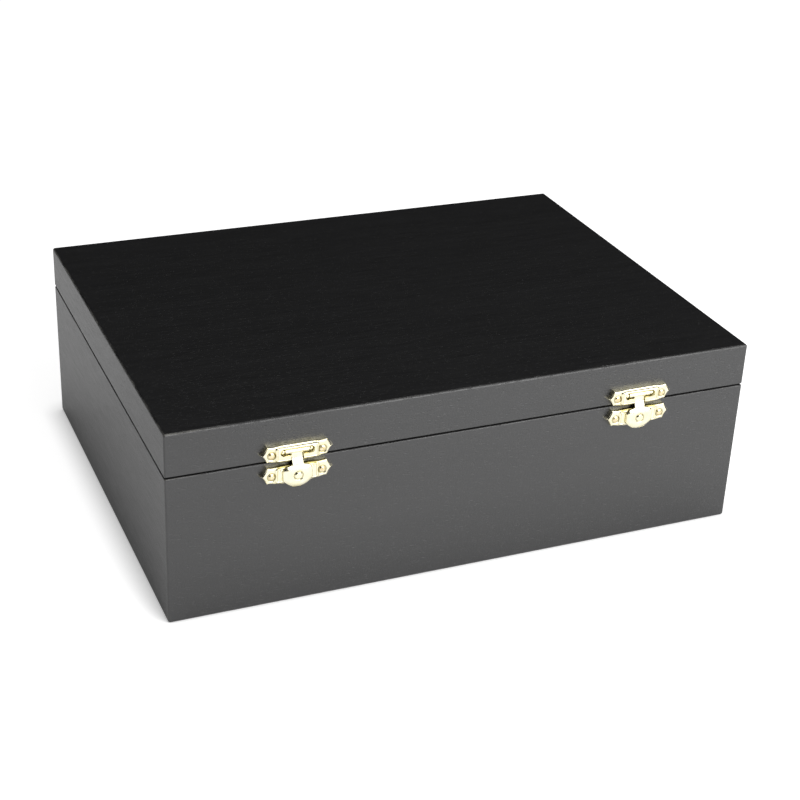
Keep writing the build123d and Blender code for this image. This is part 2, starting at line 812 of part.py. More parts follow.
with BuildPart() as spring_housing:
    upright(arbor_x, arbor_y, bed_top, housing_top, housing_radius)
    hollow = housing_radius - housing_wall
    upright(arbor_x, arbor_y, bed_top, housing_top - housing_wall, hollow, Mode.SUBTRACT)
    bore = arbor_radius + arbor_slack
    upright(arbor_x, arbor_y, bed_top, housing_top, bore, Mode.SUBTRACT)
finish(spring_housing, "spring_housing")

# Mainspring: a spiral strip of half circles, each wider than the last
with BuildPart() as mainspring:
    with BuildSketch(Plane((arbor_x, arbor_y, bed_top))):
        with BuildLine():
            for turn in range(spring_half_turns):
                centre = spring_pitch / 2 if turn % 2 else 0
                radius = spring_first_radius + turn * spring_pitch / 2
                CenterArc((centre, 0), radius, 180 * (turn % 2), 180)
        trace(line_width=spring_strip)
    extrude(amount=spring_height)
finish(mainspring, "mainspring")

arbor_top = crown_top + ratchet_thick + click_slack + clip_thick
with BuildPart() as winding_arbor:
    upright(arbor_x, arbor_y, arbor_foot, arbor_top, arbor_radius)
finish(winding_arbor, "winding_arbor")

with BuildPart() as winding_key:
    with BuildSketch(Plane(origin=(arbor_x, arbor_y, key_low), x_dir=(1, 0, 0), z_dir=(0, -1, 0))):
        with Locations((-key_wing_offset, key_wing_radius), (key_wing_offset, key_wing_radius)):
            Circle(key_wing_radius)
        with Locations((0, key_wing_radius)):
            Rectangle(2 * key_wing_offset, key_wing_radius)
        with Locations((-key_wing_offset, key_wing_radius), (key_wing_offset, key_wing_radius)):
            Circle(key_wing_bore, mode=Mode.SUBTRACT)
    extrude(amount=key_thick / 2, both=True)
    upright(arbor_x, arbor_y, key_low + key_hub_lift, key_hub_top, key_hub_radius)
    upright(arbor_x, arbor_y, arbor_foot, key_hub_top, arbor_radius + shaft_fit, Mode.SUBTRACT)
finish(winding_key, "winding_key")

with BuildPart() as crown_wheel:
    upright(arbor_x, arbor_y, crown_low, crown_top, crown_radius)
    with BuildSketch(Plane((arbor_x, arbor_y, crown_top))):
        with PolarLocations(crown_pitch_radius, crown_teeth, start_angle=180 / crown_teeth):
            Rectangle(crown_tooth_length, crown_tooth_width)
    extrude(amount=crown_tooth_height)
    upright(arbor_x, arbor_y, crown_low, crown_top, arbor_radius + shaft_fit, Mode.SUBTRACT)
finish(crown_wheel, "crown_wheel")

ratchet_top = crown_top + ratchet_thick
with BuildPart() as ratchet_wheel:
    with BuildSketch(Plane((arbor_x, arbor_y, crown_top))):
        teeth(ratchet_root, ratchet_radius, ratchet_tooth_width, ratchet_teeth, 0)
        Circle(arbor_radius + shaft_fit, mode=Mode.SUBTRACT)
    extrude(amount=ratchet_thick)
finish(ratchet_wheel, "ratchet_wheel")

with BuildPart() as ratchet_click:
    click_tip = ratchet_radius + click_slack
    with BuildSketch(Plane((arbor_x, arbor_y, crown_top))):
        with Locations((-(click_pivot_reach + click_tip) / 2, 0)):
            Rectangle(click_pivot_reach - click_tip, click_width / 2)
        with Locations((-click_pivot_reach, 0)):
            Circle(click_width / 2)
    extrude(amount=click_thick)
finish(ratchet_click, "ratchet_click")

with BuildPart() as arbor_clip:
    upright(arbor_x, arbor_y, ratchet_top, ratchet_top + clip_thick, clip_radius)
    bore = arbor_radius + shaft_fit
    upright(arbor_x, arbor_y, ratchet_top, ratchet_top + clip_thick, bore, Mode.SUBTRACT)
finish(arbor_clip, "arbor_clip")

# Pinned cylinder, open at the end that its wheel closes
with BuildPart() as cylinder:
    crosswise(cylinder_left, cylinder_right, arbor_y, level_axis_z, cylinder_radius)
    hollow_left = cylinder_left + cylinder_end_wall
    inner_radius = cylinder_radius - cylinder_wall
    crosswise(hollow_left, cylinder_right, arbor_y, level_axis_z, inner_radius, Mode.SUBTRACT)
    bore = level_arbor_radius + shaft_fit
    crosswise(cylinder_left, cylinder_right, arbor_y, level_axis_z, bore, Mode.SUBTRACT)
finish(cylinder, "cylinder")

with BuildPart() as cylinder_pins:
    for track, x in enumerate(track_spots):
        for turn in range(pins_per_track):
            angle = turn * 360 / pins_per_track + track * pin_turn
            outward = Vector(0, math.cos(math.radians(angle)), math.sin(math.radians(angle)))
            foot = Vector(x, arbor_y, level_axis_z) + outward * cylinder_radius
            pin_plane = Plane(origin=foot, z_dir=outward)
            with BuildSketch(pin_plane):
                Circle(pin_radius)
            extrude(amount=pin_rise)
finish(cylinder_pins, "cylinder_pins")

level_arbor_left = arbor_x + level_arbor_lead
level_arbor_right = outer_bracket_x + bracket_thick + bracket_gap
with BuildPart() as cylinder_arbor:
    crosswise(level_arbor_left, level_arbor_right, arbor_y, level_axis_z, level_arbor_radius)
finish(cylinder_arbor, "cylinder_arbor")

with BuildPart() as cylinder_pinion:
    pinion_left = arbor_x + crown_pitch_radius - pinion_width / 2
    with BuildSketch(level_plane(pinion_left, arbor_y, level_axis_z)):
        root = pinion_pitch_radius - pinion_dedendum
        tip = pinion_pitch_radius + pinion_addendum
        teeth(root, tip, pinion_tooth_width, pinion_teeth, -90)
        Circle(level_arbor_radius + shaft_fit, mode=Mode.SUBTRACT)
    extrude(amount=pinion_width)
finish(cylinder_pinion, "cylinder_pinion")

with BuildPart() as cylinder_wheel:
    with BuildSketch(level_plane(cylinder_right, arbor_y, level_axis_z)):
        root = cylinder_wheel_radius - gear_dedendum
        tip = cylinder_wheel_radius + gear_addendum
        teeth(root, tip, gear_tooth_width, cylinder_wheel_teeth, -governor_drop)
        Circle(level_arbor_radius + shaft_fit, mode=Mode.SUBTRACT)
    extrude(amount=cylinder_wheel_width)
finish(cylinder_wheel, "cylinder_wheel")

with BuildPart() as inner_bracket:
    left = cylinder_left - bracket_gap - bracket_thick
    right = cylinder_left - bracket_gap
    top = level_axis_z + bracket_margin
    front, rear = arbor_y - bracket_half_width, arbor_y + bracket_half_width
    block(left, right, front, rear, bed_top, top)
    block(right, right + bracket_foot, front, rear, bed_top, bed_top + bracket_thick)
    bore = level_arbor_radius + level_arbor_slack
    crosswise(left, right, arbor_y, level_axis_z, bore, Mode.SUBTRACT)
    hole = machine_screw_radius + screw_slack
    upright(foot_screw_x[0], arbor_y, bed_top, bed_top + bracket_thick, hole, Mode.SUBTRACT)
finish(inner_bracket, "inner_bracket")

with BuildPart() as outer_bracket:
    left, right = outer_bracket_x, outer_bracket_x + bracket_thick
    top = level_axis_z + bracket_margin
    front, rear = arbor_y - bracket_half_width, governor_y + governor_bracket_half
    block(left, right, front, rear, bed_top, top)
    block(left - bracket_foot, left, front, rear, bed_top, bed_top + bracket_thick)
    bore = level_arbor_radius + level_arbor_slack
    crosswise(left, right, arbor_y, level_axis_z, bore, Mode.SUBTRACT)
    bore = governor_arbor_radius + level_arbor_slack
    crosswise(left, right, governor_y, governor_z, bore, Mode.SUBTRACT)
    hole = machine_screw_radius + screw_slack
    upright(foot_screw_x[1], arbor_y, bed_top, bed_top + bracket_thick, hole, Mode.SUBTRACT)
finish(outer_bracket, "outer_bracket")

governor_left = arbor_x + governor_bearing_reach
with BuildPart() as governor_bracket:
    left, right = governor_left, governor_left + bracket_thick
    front, rear = governor_y - governor_bracket_half, governor_y + governor_bracket_half
    block(left, right, front, rear, bed_top, governor_z + governor_bracket_half)
    block(left - bracket_foot, left, front, rear, bed_top, bed_top + bracket_thick)
    bore = governor_arbor_radius + level_arbor_slack
    crosswise(left, right, governor_y, governor_z, bore, Mode.SUBTRACT)
    hole = machine_screw_radius + screw_slack
    upright(foot_screw_x[2], governor_y, bed_top, bed_top + bracket_thick, hole, Mode.SUBTRACT)
finish(governor_bracket, "governor_bracket")

with BuildPart() as governor_wheel:
    left, right = governor_left - governor_arbor_lead, level_arbor_right
    crosswise(left, right, governor_y, governor_z, governor_arbor_radius)
    with BuildSketch(level_plane(cylinder_right, governor_y, governor_z)):
        root = governor_pinion_radius - gear_dedendum
        tip = governor_pinion_radius + gear_addendum
        first = 180 - governor_drop + 180 / governor_pinion_teeth
        teeth(root, tip, gear_tooth_width, governor_pinion_teeth, first)
    extrude(amount=cylinder_wheel_width)
    with BuildSketch(level_plane(worm_x - worm_wheel_width / 2, governor_y, governor_z)):
        root = worm_wheel_radius - gear_dedendum
        tip = worm_wheel_radius + gear_addendum
        teeth(root, tip, gear_tooth_width, worm_wheel_teeth, 0)
    extrude(amount=worm_wheel_width)
finish(governor_wheel, "governor_wheel")

# Worm spindle with its threads
worm_root = worm_pitch_radius - gear_dedendum
worm_crest = worm_pitch_radius + gear_addendum
worm_low = governor_z - worm_threads * thread_pitch / 2
worm_height = worm_threads * thread_pitch
with BuildPart() as worm_spindle:
    upright(worm_x, worm_y, frame_low_z - frame_thick, bed_top + spindle_top, spindle_radius)
    upright(worm_x, worm_y, worm_low, worm_low + worm_height, worm_root)
    # The first thread begins on the wheel's side, so that a wheel tooth stands between turns
    thread_base = worm_root - worm_thread_root
    thread_radius = (thread_base + worm_crest) / 2
    for start in range(worm_starts):
        turned = Plane((worm_x, worm_y, worm_low)).rotated((0, 0, start * 360 / worm_starts - 90))
        path = turned.location * Helix(worm_lead, worm_height, thread_radius, mode=Mode.PRIVATE)
        with BuildSketch(Plane(origin=path @ 0, z_dir=path % 0, x_dir=turned.x_dir)):
            Rectangle(worm_crest - thread_base, worm_thread_width)
        sweep(path=path, is_frenet=True)
finish(worm_spindle, "worm_spindle")

fan_low_z = bed_top + fan_low
with BuildPart() as fan:
    upright(worm_x, worm_y, fan_low_z, fan_low_z + fan_height, fan_hub_radius)
    half = fan_blade_thick / 2
    block(
        worm_x - fan_radius, worm_x + fan_radius, worm_y - half, worm_y + half,
        fan_low_z, fan_low_z + fan_height,
    )
    bore = spindle_radius + shaft_fit
    upright(worm_x, worm_y, fan_low_z, fan_low_z + fan_height, bore, Mode.SUBTRACT)
finish(fan, "fan")

with BuildPart() as governor_frame:
    left, right = worm_x - frame_width / 2, worm_x + frame_width / 2
    post_rear = frame_post_y + frame_thick
    block(left, right, frame_post_y, post_rear, bed_top, frame_top_z + frame_thick)
    for arm_low in (frame_low_z, frame_top_z):
        front = worm_y - frame_arm_margin
        block(left, right, front, frame_post_y, arm_low, arm_low + frame_thick)
    block(left, right, post_rear, post_rear + frame_foot, bed_top, bed_top + bracket_thick)
    bore = spindle_radius + spindle_slack
    upright(worm_x, worm_y, bed_top, frame_top_z + frame_thick, bore, Mode.SUBTRACT)
    hole = machine_screw_radius + screw_slack
    upright(worm_x, frame_screw_y, bed_top, bed_top + bracket_thick, hole, Mode.SUBTRACT)
finish(governor_frame, "governor_frame")

with BuildPart() as bracket_screws:
    for x, y in bracket_screw_spots:
        shank = bracket_thick + bed_thick
        seat = bed_top + bracket_thick
        radius, head = machine_screw_radius, machine_screw_head_height
        screw(x, y, seat, shank, radius, small_screw_head_radius, head, 1)
finish(bracket_screws, "bracket_screws")

# Comb: eighteen tuned teeth that stop just short of the pins
comb_tip_y = arbor_y - pin_circle - comb_clearance
with BuildPart() as comb:
    block(comb_left, comb_right, comb_rear_y, comb_front_y, comb_low, comb_high)
    for x in track_spots:
        half = comb_tooth_width / 2
        low = level_axis_z - comb_tooth_thick / 2
        block(x - half, x + half, comb_front_y, comb_tip_y, low, low + comb_tooth_thick)
    for x, y in comb_screw_spots:
        upright(x, y, comb_low, comb_high, machine_screw_radius + screw_slack, Mode.SUBTRACT)
finish(comb, "comb")

with BuildPart() as comb_screws:
    for x, y in comb_screw_spots:
        shank = comb_thick + comb_screw_depth - screw_slack
        radius, head = machine_screw_radius, machine_screw_head_height
        screw(x, y, comb_high, shank, radius, machine_screw_head_radius, head, 1)
finish(comb_screws, "comb_screws")

# Stop lever: a bent strip on the pin of its post; its tail hangs beside the fan
with BuildPart() as lever_post:
    front, rear = lever_pivot_y - lever_post_depth / 2, lever_pivot_y + lever_post_depth / 2
    top = lever_pivot_z + lever_post_depth / 2
    block(post_left, post_left + lever_post_width, front, rear, bed_top, top)
    pin_end = lever_x + lever_thick + lever_post_gap
    crosswise(post_left, pin_end, lever_pivot_y, lever_pivot_z, lever_pin_radius)
finish(lever_post, "lever_post")

with BuildPart() as stop_lever:
    arm_half = lever_arm_width / 2
    elbow = (lever_finger_reach - lever_pivot_reach, lever_elbow_height - lever_pivot_height)
    tail_reach = worm_y - lever_pivot_y
    with BuildSketch(level_plane(lever_x, lever_pivot_y, lever_pivot_z)):
        with BuildLine():
            Line((0, 0), elbow)
        trace(line_width=lever_arm_width)
        Circle(lever_hub_radius)
        with Locations(elbow):
            Circle(arm_half)
        with BuildLine():
            Line(elbow, (elbow[0], lever_top_height - lever_pivot_height))
        trace(line_width=lever_arm_width)
        with BuildLine():
            tail_top = (tail_reach, elbow[1] * tail_reach / elbow[0])
            Line(tail_top, (tail_reach, lever_stop_low - lever_pivot_height))
        trace(line_width=lever_arm_width)
        Circle(lever_pin_radius + lever_pin_slack, mode=Mode.SUBTRACT)
    extrude(amount=lever_thick)
finish(stop_lever, "stop_lever")
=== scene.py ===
"""A black-painted wooden music box with two brass catches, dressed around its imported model.

Metres, +Z up, the front faces -Y. The sections follow the box as it is put together.
"""

import math

import bmesh
import bpy
import numpy as np
from mathutils import Matrix, Vector


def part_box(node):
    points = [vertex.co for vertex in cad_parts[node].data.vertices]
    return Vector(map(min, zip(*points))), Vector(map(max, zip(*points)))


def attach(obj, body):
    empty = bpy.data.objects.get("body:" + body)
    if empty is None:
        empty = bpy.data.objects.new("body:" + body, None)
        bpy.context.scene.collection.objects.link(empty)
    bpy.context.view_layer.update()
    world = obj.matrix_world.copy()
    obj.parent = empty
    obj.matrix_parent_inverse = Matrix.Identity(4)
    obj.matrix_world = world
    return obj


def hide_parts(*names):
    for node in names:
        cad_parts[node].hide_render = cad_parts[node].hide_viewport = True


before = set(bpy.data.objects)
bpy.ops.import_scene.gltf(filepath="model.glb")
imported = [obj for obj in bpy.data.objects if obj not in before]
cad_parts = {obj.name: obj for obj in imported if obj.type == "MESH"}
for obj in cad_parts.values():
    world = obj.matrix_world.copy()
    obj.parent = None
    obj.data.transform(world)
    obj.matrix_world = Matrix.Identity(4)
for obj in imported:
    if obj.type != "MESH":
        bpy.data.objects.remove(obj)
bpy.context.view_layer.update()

mm = 0.001

# Camera
# The photograph's view, worked out from the box's corners in it: from the left of the front,
# looking down on the lid through a long lens, with a slight roll.
view_place = (-0.2832, -0.6683, 0.4087)
view_turn, view_tilt, view_roll = -23.696, -27.317, -2.529
focal_length, film_width = 75.22, 36
camera_data = bpy.data.cameras.new("studio_camera")
camera_data.lens = focal_length
camera_data.sensor_width = film_width
camera = bpy.data.objects.new("studio_camera", camera_data)
camera.matrix_world = (
    Matrix.Translation(view_place)
    @ Matrix.Rotation(math.radians(view_turn), 4, "Z")
    @ Matrix.Rotation(math.radians(view_tilt), 4, "X")
    @ Matrix.Rotation(math.radians(view_roll), 4, "Y")
    @ Matrix.Rotation(math.radians(90), 4, "X")
)
bpy.context.scene.collection.objects.link(camera)
bpy.context.scene.camera = camera


# Wooden case and lid
# Mitred boards of a light hardwood, and the panels and partitions between them. All are sanded,
# primed and sprayed with thin satin black paint, through which the grain still shows.


def linear(colour):
    """An sRGB hex colour as the linear colour that a shader takes."""
    levels = [int(colour[start:start + 2], 16) / 255 for start in (1, 3, 5)]
    shares = [level / 12.92 if level <= 0.04045 else ((level + 0.055) / 1.055) ** 2.4 for level in levels]
    return (*shares, 1.0)


def add(tree, kind, inputs=(), **settings):
    """Adds a node with its settings. Its inputs, in order or by name, are each set to a value, or
    linked to a socket or to a node's first output."""
    node = tree.nodes.new(kind)
    for name, value in settings.items():
        setattr(node, name, value)
    for place, given in inputs.items() if isinstance(inputs, dict) else enumerate(inputs):
        given = given.outputs[0] if isinstance(given, bpy.types.Node) else given
        if isinstance(given, bpy.types.NodeSocket):
            tree.links.new(given, node.inputs[place])
        else:
            node.inputs[place].default_value = given
    return node


def blank_material(name, **values):
    """A new material, its node tree and its Principled shader, with the sockets set as given."""
    material = bpy.data.materials.new(name)
    material.use_nodes = True
    tree = material.node_tree
    shader = tree.nodes["Principled BSDF"]
    for socket, value in values.items():
        shader.inputs[socket.replace("_", " ")].default_value = value
    return material, tree, shader


def stretched(tree, sizes):
    """Object coordinates in which one unit is as long as the pattern size on each axis."""
    place = add(tree, "ShaderNodeTexCoord").outputs["Object"]
    return add(tree, "ShaderNodeMapping", {"Vector": place, "Scale": [1 / size for size in sizes]})


def arris_share(tree):
    """1 on a rounded arris that faces partly up, and 0 on the faces and the upright arrises."""
    normal = add(tree, "ShaderNodeTexCoord").outputs["Normal"]
    split = add(tree, "ShaderNodeSeparateXYZ", [normal]).outputs
    sides = [add(tree, "ShaderNodeMath", [split[axis]], operation="ABSOLUTE") for axis in "XYZ"]
    larger = add(tree, "ShaderNodeMath", sides[:2], operation="MAXIMUM")
    largest = add(tree, "ShaderNodeMath", [larger, sides[2]], operation="MAXIMUM")
    rounded = add(tree, "ShaderNodeMapRange", [largest, 0.98, 0.80])
    upward = add(tree, "ShaderNodeMapRange", [split["Z"], 0.15, 0.45])
    return add(tree, "ShaderNodeMath", [rounded, upward], operation="MULTIPLY")


def satin_black_paint(name, along):
    """Sprayed satin black on grained hardwood: dark, softly mirroring, with fine grain lines
    along the board, a few dust nibs, and a light grey on the arrises that face up, partly wear
    and partly painted highlight. The pores are drawn about twice their real width, so that they show."""
    material, tree, shader = blank_material(name, Roughness=0.38, IOR=1.8)
    grain_size, figure_size, fleck_size = [0.7 * mm] * 3, [9 * mm] * 3, [0.5 * mm] * 3
    grain_size[along], figure_size[along], fleck_size[along] = 14 * mm, 120 * mm, 3.0 * mm
    grain = add(tree, "ShaderNodeTexNoise", {
        "Vector": stretched(tree, grain_size), "Scale": 1, "Detail": 5, "Roughness": 0.62,
    })
    figure = add(tree, "ShaderNodeTexNoise", {
        "Vector": stretched(tree, figure_size), "Scale": 1, "Detail": 2, "Distortion": 0.4,
    })
    fleck = add(tree, "ShaderNodeTexNoise", {
        "Vector": stretched(tree, fleck_size), "Scale": 1, "Detail": 2, "Roughness": 0.5,
    })
    peel = add(tree, "ShaderNodeTexNoise", {
        "Vector": stretched(tree, [0.9 * mm] * 3), "Scale": 1, "Detail": 1,
    })
    pore = add(tree, "ShaderNodeMapRange", [fleck, 0.40, 0.28])
    fine = add(tree, "ShaderNodeMath", [grain, 0.6], operation="MULTIPLY")
    broad = add(tree, "ShaderNodeMath", [figure, 0.4], operation="MULTIPLY")
    shade = add(tree, "ShaderNodeMath", [fine, broad], operation="ADD")
    shade = add(tree, "ShaderNodeMapRange", [shade, 0.35, 0.65])
    body = add(
        tree, "ShaderNodeMix", {0: shade, 6: linear("#171718"), 7: linear("#1f1f20")}, data_type="RGBA"
    ).outputs[2]
    dark = add(tree, "ShaderNodeMath", [pore, 0.5], operation="MULTIPLY")
    body = add(
        tree, "ShaderNodeMix", {0: dark, 6: body, 7: linear("#101010")}, data_type="RGBA"
    ).outputs[2]
    # A dust nib is a dot in the middle of a cell, and about one cell in four has one
    cells = {"Vector": stretched(tree, [11 * mm] * 3), "Scale": 1}
    nibs = add(tree, "ShaderNodeTexVoronoi", cells).outputs
    lone = add(tree, "ShaderNodeSeparateColor", [nibs["Color"]]).outputs["Red"]
    dot = add(tree, "ShaderNodeMapRange", [nibs["Distance"], 0.03, 0.012])
    chosen = add(tree, "ShaderNodeMapRange", [lone, 0.72, 0.74])
    nib = add(tree, "ShaderNodeMath", [dot, chosen], operation="MULTIPLY")
    dusty = add(tree, "ShaderNodeMath", [nib, 0.3], operation="MULTIPLY")
    body = add(
        tree, "ShaderNodeMix", {0: dusty, 6: body, 7: linear("#7c7c7c")}, data_type="RGBA"
    ).outputs[2]
    # Wear and painted highlight: a light grey in patches on the arrises that face up, and most at the
    # left end
    rub = add(tree, "ShaderNodeTexNoise", {
        "Vector": stretched(tree, [12 * mm] * 3), "Scale": 1, "Detail": 3, "Roughness": 0.6,
    })
    place = add(tree, "ShaderNodeTexCoord").outputs["Object"]
    from_left = add(tree, "ShaderNodeSeparateXYZ", [place]).outputs["X"]
    left_end_wear_and_highlight = add(tree, "ShaderNodeMapRange", [from_left, -108 * mm, -134 * mm, 0.06, 0.55])
    arris = arris_share(tree)
    patches = add(tree, "ShaderNodeMapRange", [rub, 0.40, 0.66])
    arris_wear_and_highlight = add(tree, "ShaderNodeMath", [arris, patches], operation="MULTIPLY")
    arris_wear_and_highlight = add(tree, "ShaderNodeMath", [arris_wear_and_highlight, left_end_wear_and_highlight], operation="MULTIPLY")
    body = add(
        tree, "ShaderNodeMix", {0: arris_wear_and_highlight, 6: body, 7: linear("#8f8d87")}, data_type="RGBA"
    ).outputs[2]
    rough = add(tree, "ShaderNodeMapRange", [grain, 0.3, 0.7, 0.36, 0.46])
    mirroring = add(tree, "ShaderNodeMapRange", [arris, 0, 1, 0.5, 0.28])
    height = add(tree, "ShaderNodeMath", [
        add(tree, "ShaderNodeMath", [grain, 0.7], operation="MULTIPLY"),
        add(tree, "ShaderNodeMath", [pore, 0.6], operation="MULTIPLY"),
    ], operation="SUBTRACT")
    for pattern, share in ((peel, 0.6), (nib, 0.8)):
        raised = add(tree, "ShaderNodeMath", [pattern, share], operation="MULTIPLY")
        height = add(tree, "ShaderNodeMath", [height, raised], operation="ADD")
    bump = add(tree, "ShaderNodeBump", {"Strength": 0.75, "Distance": 0.18 * mm, "Height": height})
    tree.links.new(body, shader.inputs["Base Color"])
    tree.links.new(rough.outputs["Result"], shader.inputs["Roughness"])
    tree.links.new(mirroring.outputs["Result"], shader.inputs["Specular IOR Level"])
    tree.links.new(bump.outputs["Normal"], shader.inputs["Normal"])
    return material


def dress(material, *names):
    """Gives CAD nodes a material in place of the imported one."""
    for name in names:
        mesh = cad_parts[name].data
        mesh.materials.clear()
        mesh.materials.append(material)


paint_along_width = satin_black_paint("satin_black_paint_grain_along_width", 0)
paint_along_depth = satin_black_paint("satin_black_paint_grain_along_depth", 1)
dress(
    paint_along_width, "front_board", "back_board", "bottom_panel", "cross_partition",
    "lid_front_rail", "lid_back_rail", "lid_top_panel",
)
dress(
    paint_along_depth, "left_board", "right_board", "long_partition", "cover_cleats",
    "lid_left_rail", "lid_right_rail",
)


# Felt linings
# Sheets of pressed wool felt, cut with a knife and glued flat: two on the floor, and one under
# the lid with a round hole for the peg.
felt_cell = 2.5 * mm
felt_rise = 0.12 * mm
felt_gap = 0.3 * mm
felt_edge_share, felt_backing_share = 0.45, 0.85
wave_across, wave_along, wave_slant = 31 * mm, 23 * mm, 13 * mm
slant_share = 0.6
peg_hole_radius = 3.6 * mm


def pressed_felt():
    """Pressed wool felt: wine red, matt, with tangled fibres about 0.3 mm thick, drawn at
    twice that so that they show, and a soft sheen at a low angle."""
    material, tree, shader = blank_material(
        "pressed_wool_felt", Roughness=0.95, Sheen_Weight=0.25, Sheen_Roughness=0.5,
        Sheen_Tint=linear("#b8707a"), Specular_IOR_Level=0.15,
    )
    fibre = add(tree, "ShaderNodeTexNoise", {
        "Vector": stretched(tree, [0.9 * mm] * 3), "Scale": 1, "Detail": 3, "Roughness": 0.7,
        "Distortion": 1.8,
    })
    cloud = add(tree, "ShaderNodeTexNoise", {
        "Vector": stretched(tree, [14 * mm] * 3), "Scale": 1, "Detail": 3,
    })
    shade = add(tree, "ShaderNodeMath", [
        add(tree, "ShaderNodeMath", [fibre, 0.85], operation="MULTIPLY"),
        add(tree, "ShaderNodeMath", [cloud, 0.15], operation="MULTIPLY"),
    ], operation="ADD")
    shade = add(tree, "ShaderNodeMapRange", [shade, 0.35, 0.65])
    wine = add(
        tree, "ShaderNodeMix", {0: shade, 6: linear("#5a1420"), 7: linear("#7d2230")}, data_type="RGBA"
    ).outputs[2]
    bump = add(tree, "ShaderNodeBump", {"Strength": 0.8, "Distance": 0.25 * mm, "Height": fibre})
    tree.links.new(wine, shader.inputs["Base Color"])
    tree.links.new(bump.outputs["Normal"], shader.inputs["Normal"])
    return material


felt = pressed_felt()


def show(name, mesh, material, body, slot, *replaced):
    """Links a finished mesh as a piece that rides on a body, and hides the CAD nodes that it stands for;
    slot is not used.
    """
    piece = bpy.data.objects.new(name, mesh)
    bpy.context.scene.collection.objects.link(piece)
    mesh.materials.clear()
    mesh.materials.append(material)
    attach(piece, body)
    if replaced:
        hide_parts(*replaced)
    return piece


def felt_sheet(name, low, high, glued_face, body, node, hole=None):
    """One sheet of felt from corner to corner: its glued face is flat, its free face a little uneven."""
    columns = round((high[0] - low[0]) / felt_cell) + 1
    rows = round((high[1] - low[1]) / felt_cell) + 1
    thick = high[2] - low[2]
    free_face, outward = (high[2], 1) if glued_face == "low" else (low[2], -1)
    shape = bmesh.new()
    points = []
    for row, y in enumerate(np.linspace(low[1], high[1], rows)):
        for column, x in enumerate(np.linspace(low[0], high[0], columns)):
            wave = math.sin(x / wave_across) * math.cos(y / wave_along)
            wave += slant_share * math.sin((x + 2 * y) / wave_slant)
            z = free_face + outward * felt_rise * (wave / (1 + slant_share) - 1)
            if row in (0, rows - 1) or column in (0, columns - 1):
                z = free_face - outward * felt_edge_share * thick
            points.append(shape.verts.new((x, y, z)))
    for row in range(rows - 1):
        for column in range(columns - 1):
            first = row * columns + column
            above = first + columns
            corners = [points[first], points[first + 1], points[above + 1], points[above]]
            middle = sum((corner.co for corner in corners), corners[0].co * 0) / 4
            if hole and math.hypot(middle.x - hole[0], middle.y - hole[1]) < hole[2]:
                continue
            shape.faces.new(corners if outward > 0 else corners[::-1])
    bmesh.ops.delete(shape, geom=[v for v in shape.verts if not v.link_faces], context="VERTS")
    if hole:
        for vertex in shape.verts:
            reach = math.hypot(vertex.co.x - hole[0], vertex.co.y - hole[1])
            if vertex.is_boundary and reach < 2 * hole[2]:
                vertex.co.x = hole[0] + (vertex.co.x - hole[0]) * hole[2] / reach
                vertex.co.y = hole[1] + (vertex.co.y - hole[1]) * hole[2] / reach
    mesh = bpy.data.meshes.new(name)
    shape.to_mesh(mesh)
    shape.free()
    mesh.shade_smooth()
    sheet = show(name, mesh, felt, body, "felt", node)
    backing = sheet.modifiers.new("backing", "SOLIDIFY")
    backing.thickness = thick * felt_backing_share
    backing.offset = -1
    return sheet


floor_low, floor_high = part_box("floor_felts")
small_room_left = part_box("long_partition")[1].x
cross_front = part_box("cross_partition")[0].y
partition_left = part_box("long_partition")[0].x
felt_sheet(
    "main_floor_felt", floor_low, (partition_left - felt_gap, floor_high.y, floor_high.z), "low",
    "case", "floor_felts",
)
felt_sheet(
    "small_floor_felt", (small_room_left + felt_gap, floor_low.y, floor_low.z),
    (floor_high.x, cross_front - felt_gap, floor_high.z), "low",
    "case", "floor_felts",
)
peg_low, peg_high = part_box("lid_peg")
peg_middle = (peg_low + peg_high) / 2
lid_felt_low, lid_felt_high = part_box("lid_felt")
felt_sheet(
    "lid_lining_felt", lid_felt_low, lid_felt_high, "high", "lid", "lid_felt",
    hole=(peg_middle.x, peg_middle.y, peg_hole_radius),
)


# Stamped catches
# Each is a lid plate, a case plate and a tongue, stamped from thin sheet and plated a pale bright
# brass. The lid plate's pocket holds the tongue's rod, and the tongue's pad snaps over the case plate.
seam_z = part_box("front_board")[1].z
wood_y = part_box("front_board")[0].y
# A plate's outline from its tip inwards, then how far it and its raised field stand off the wood
plate_tip = 16.0 * mm
plate_corner = 13.0 * mm
plate_belly = 6.5 * mm
belly_end = 8.0 * mm
plate_scallop = 0.25 * mm
belly_drop = 0.85 * mm
plate_hollow = 0.9 * mm
plate_rise = 2.3 * mm
field_rises = {"lid": 2.8 * mm, "case": 2.5 * mm}
rim_round = 0.9 * mm
field_half = 9.25 * mm
field_margin = 0.9 * mm
# The pocket, and the rod that lies in it
pocket_half = 7.3 * mm
pocket_half_height = 1.45 * mm
pocket_floor = 0.3 * mm
channel_half = 2.55 * mm
channel_floor = 1.0 * mm
rod_height = 5.0 * mm
rod_rise = 1.5 * mm
roll_radius = 1.1 * mm
# Where the nails go, also used in the next section, and the ring pressed round each of them
nail_reach = 11.1 * mm
nail_seat = 1.7 * mm
nail_heights = {"lid": 4.1 * mm, "case": -5.8 * mm}
crease_angle = 55


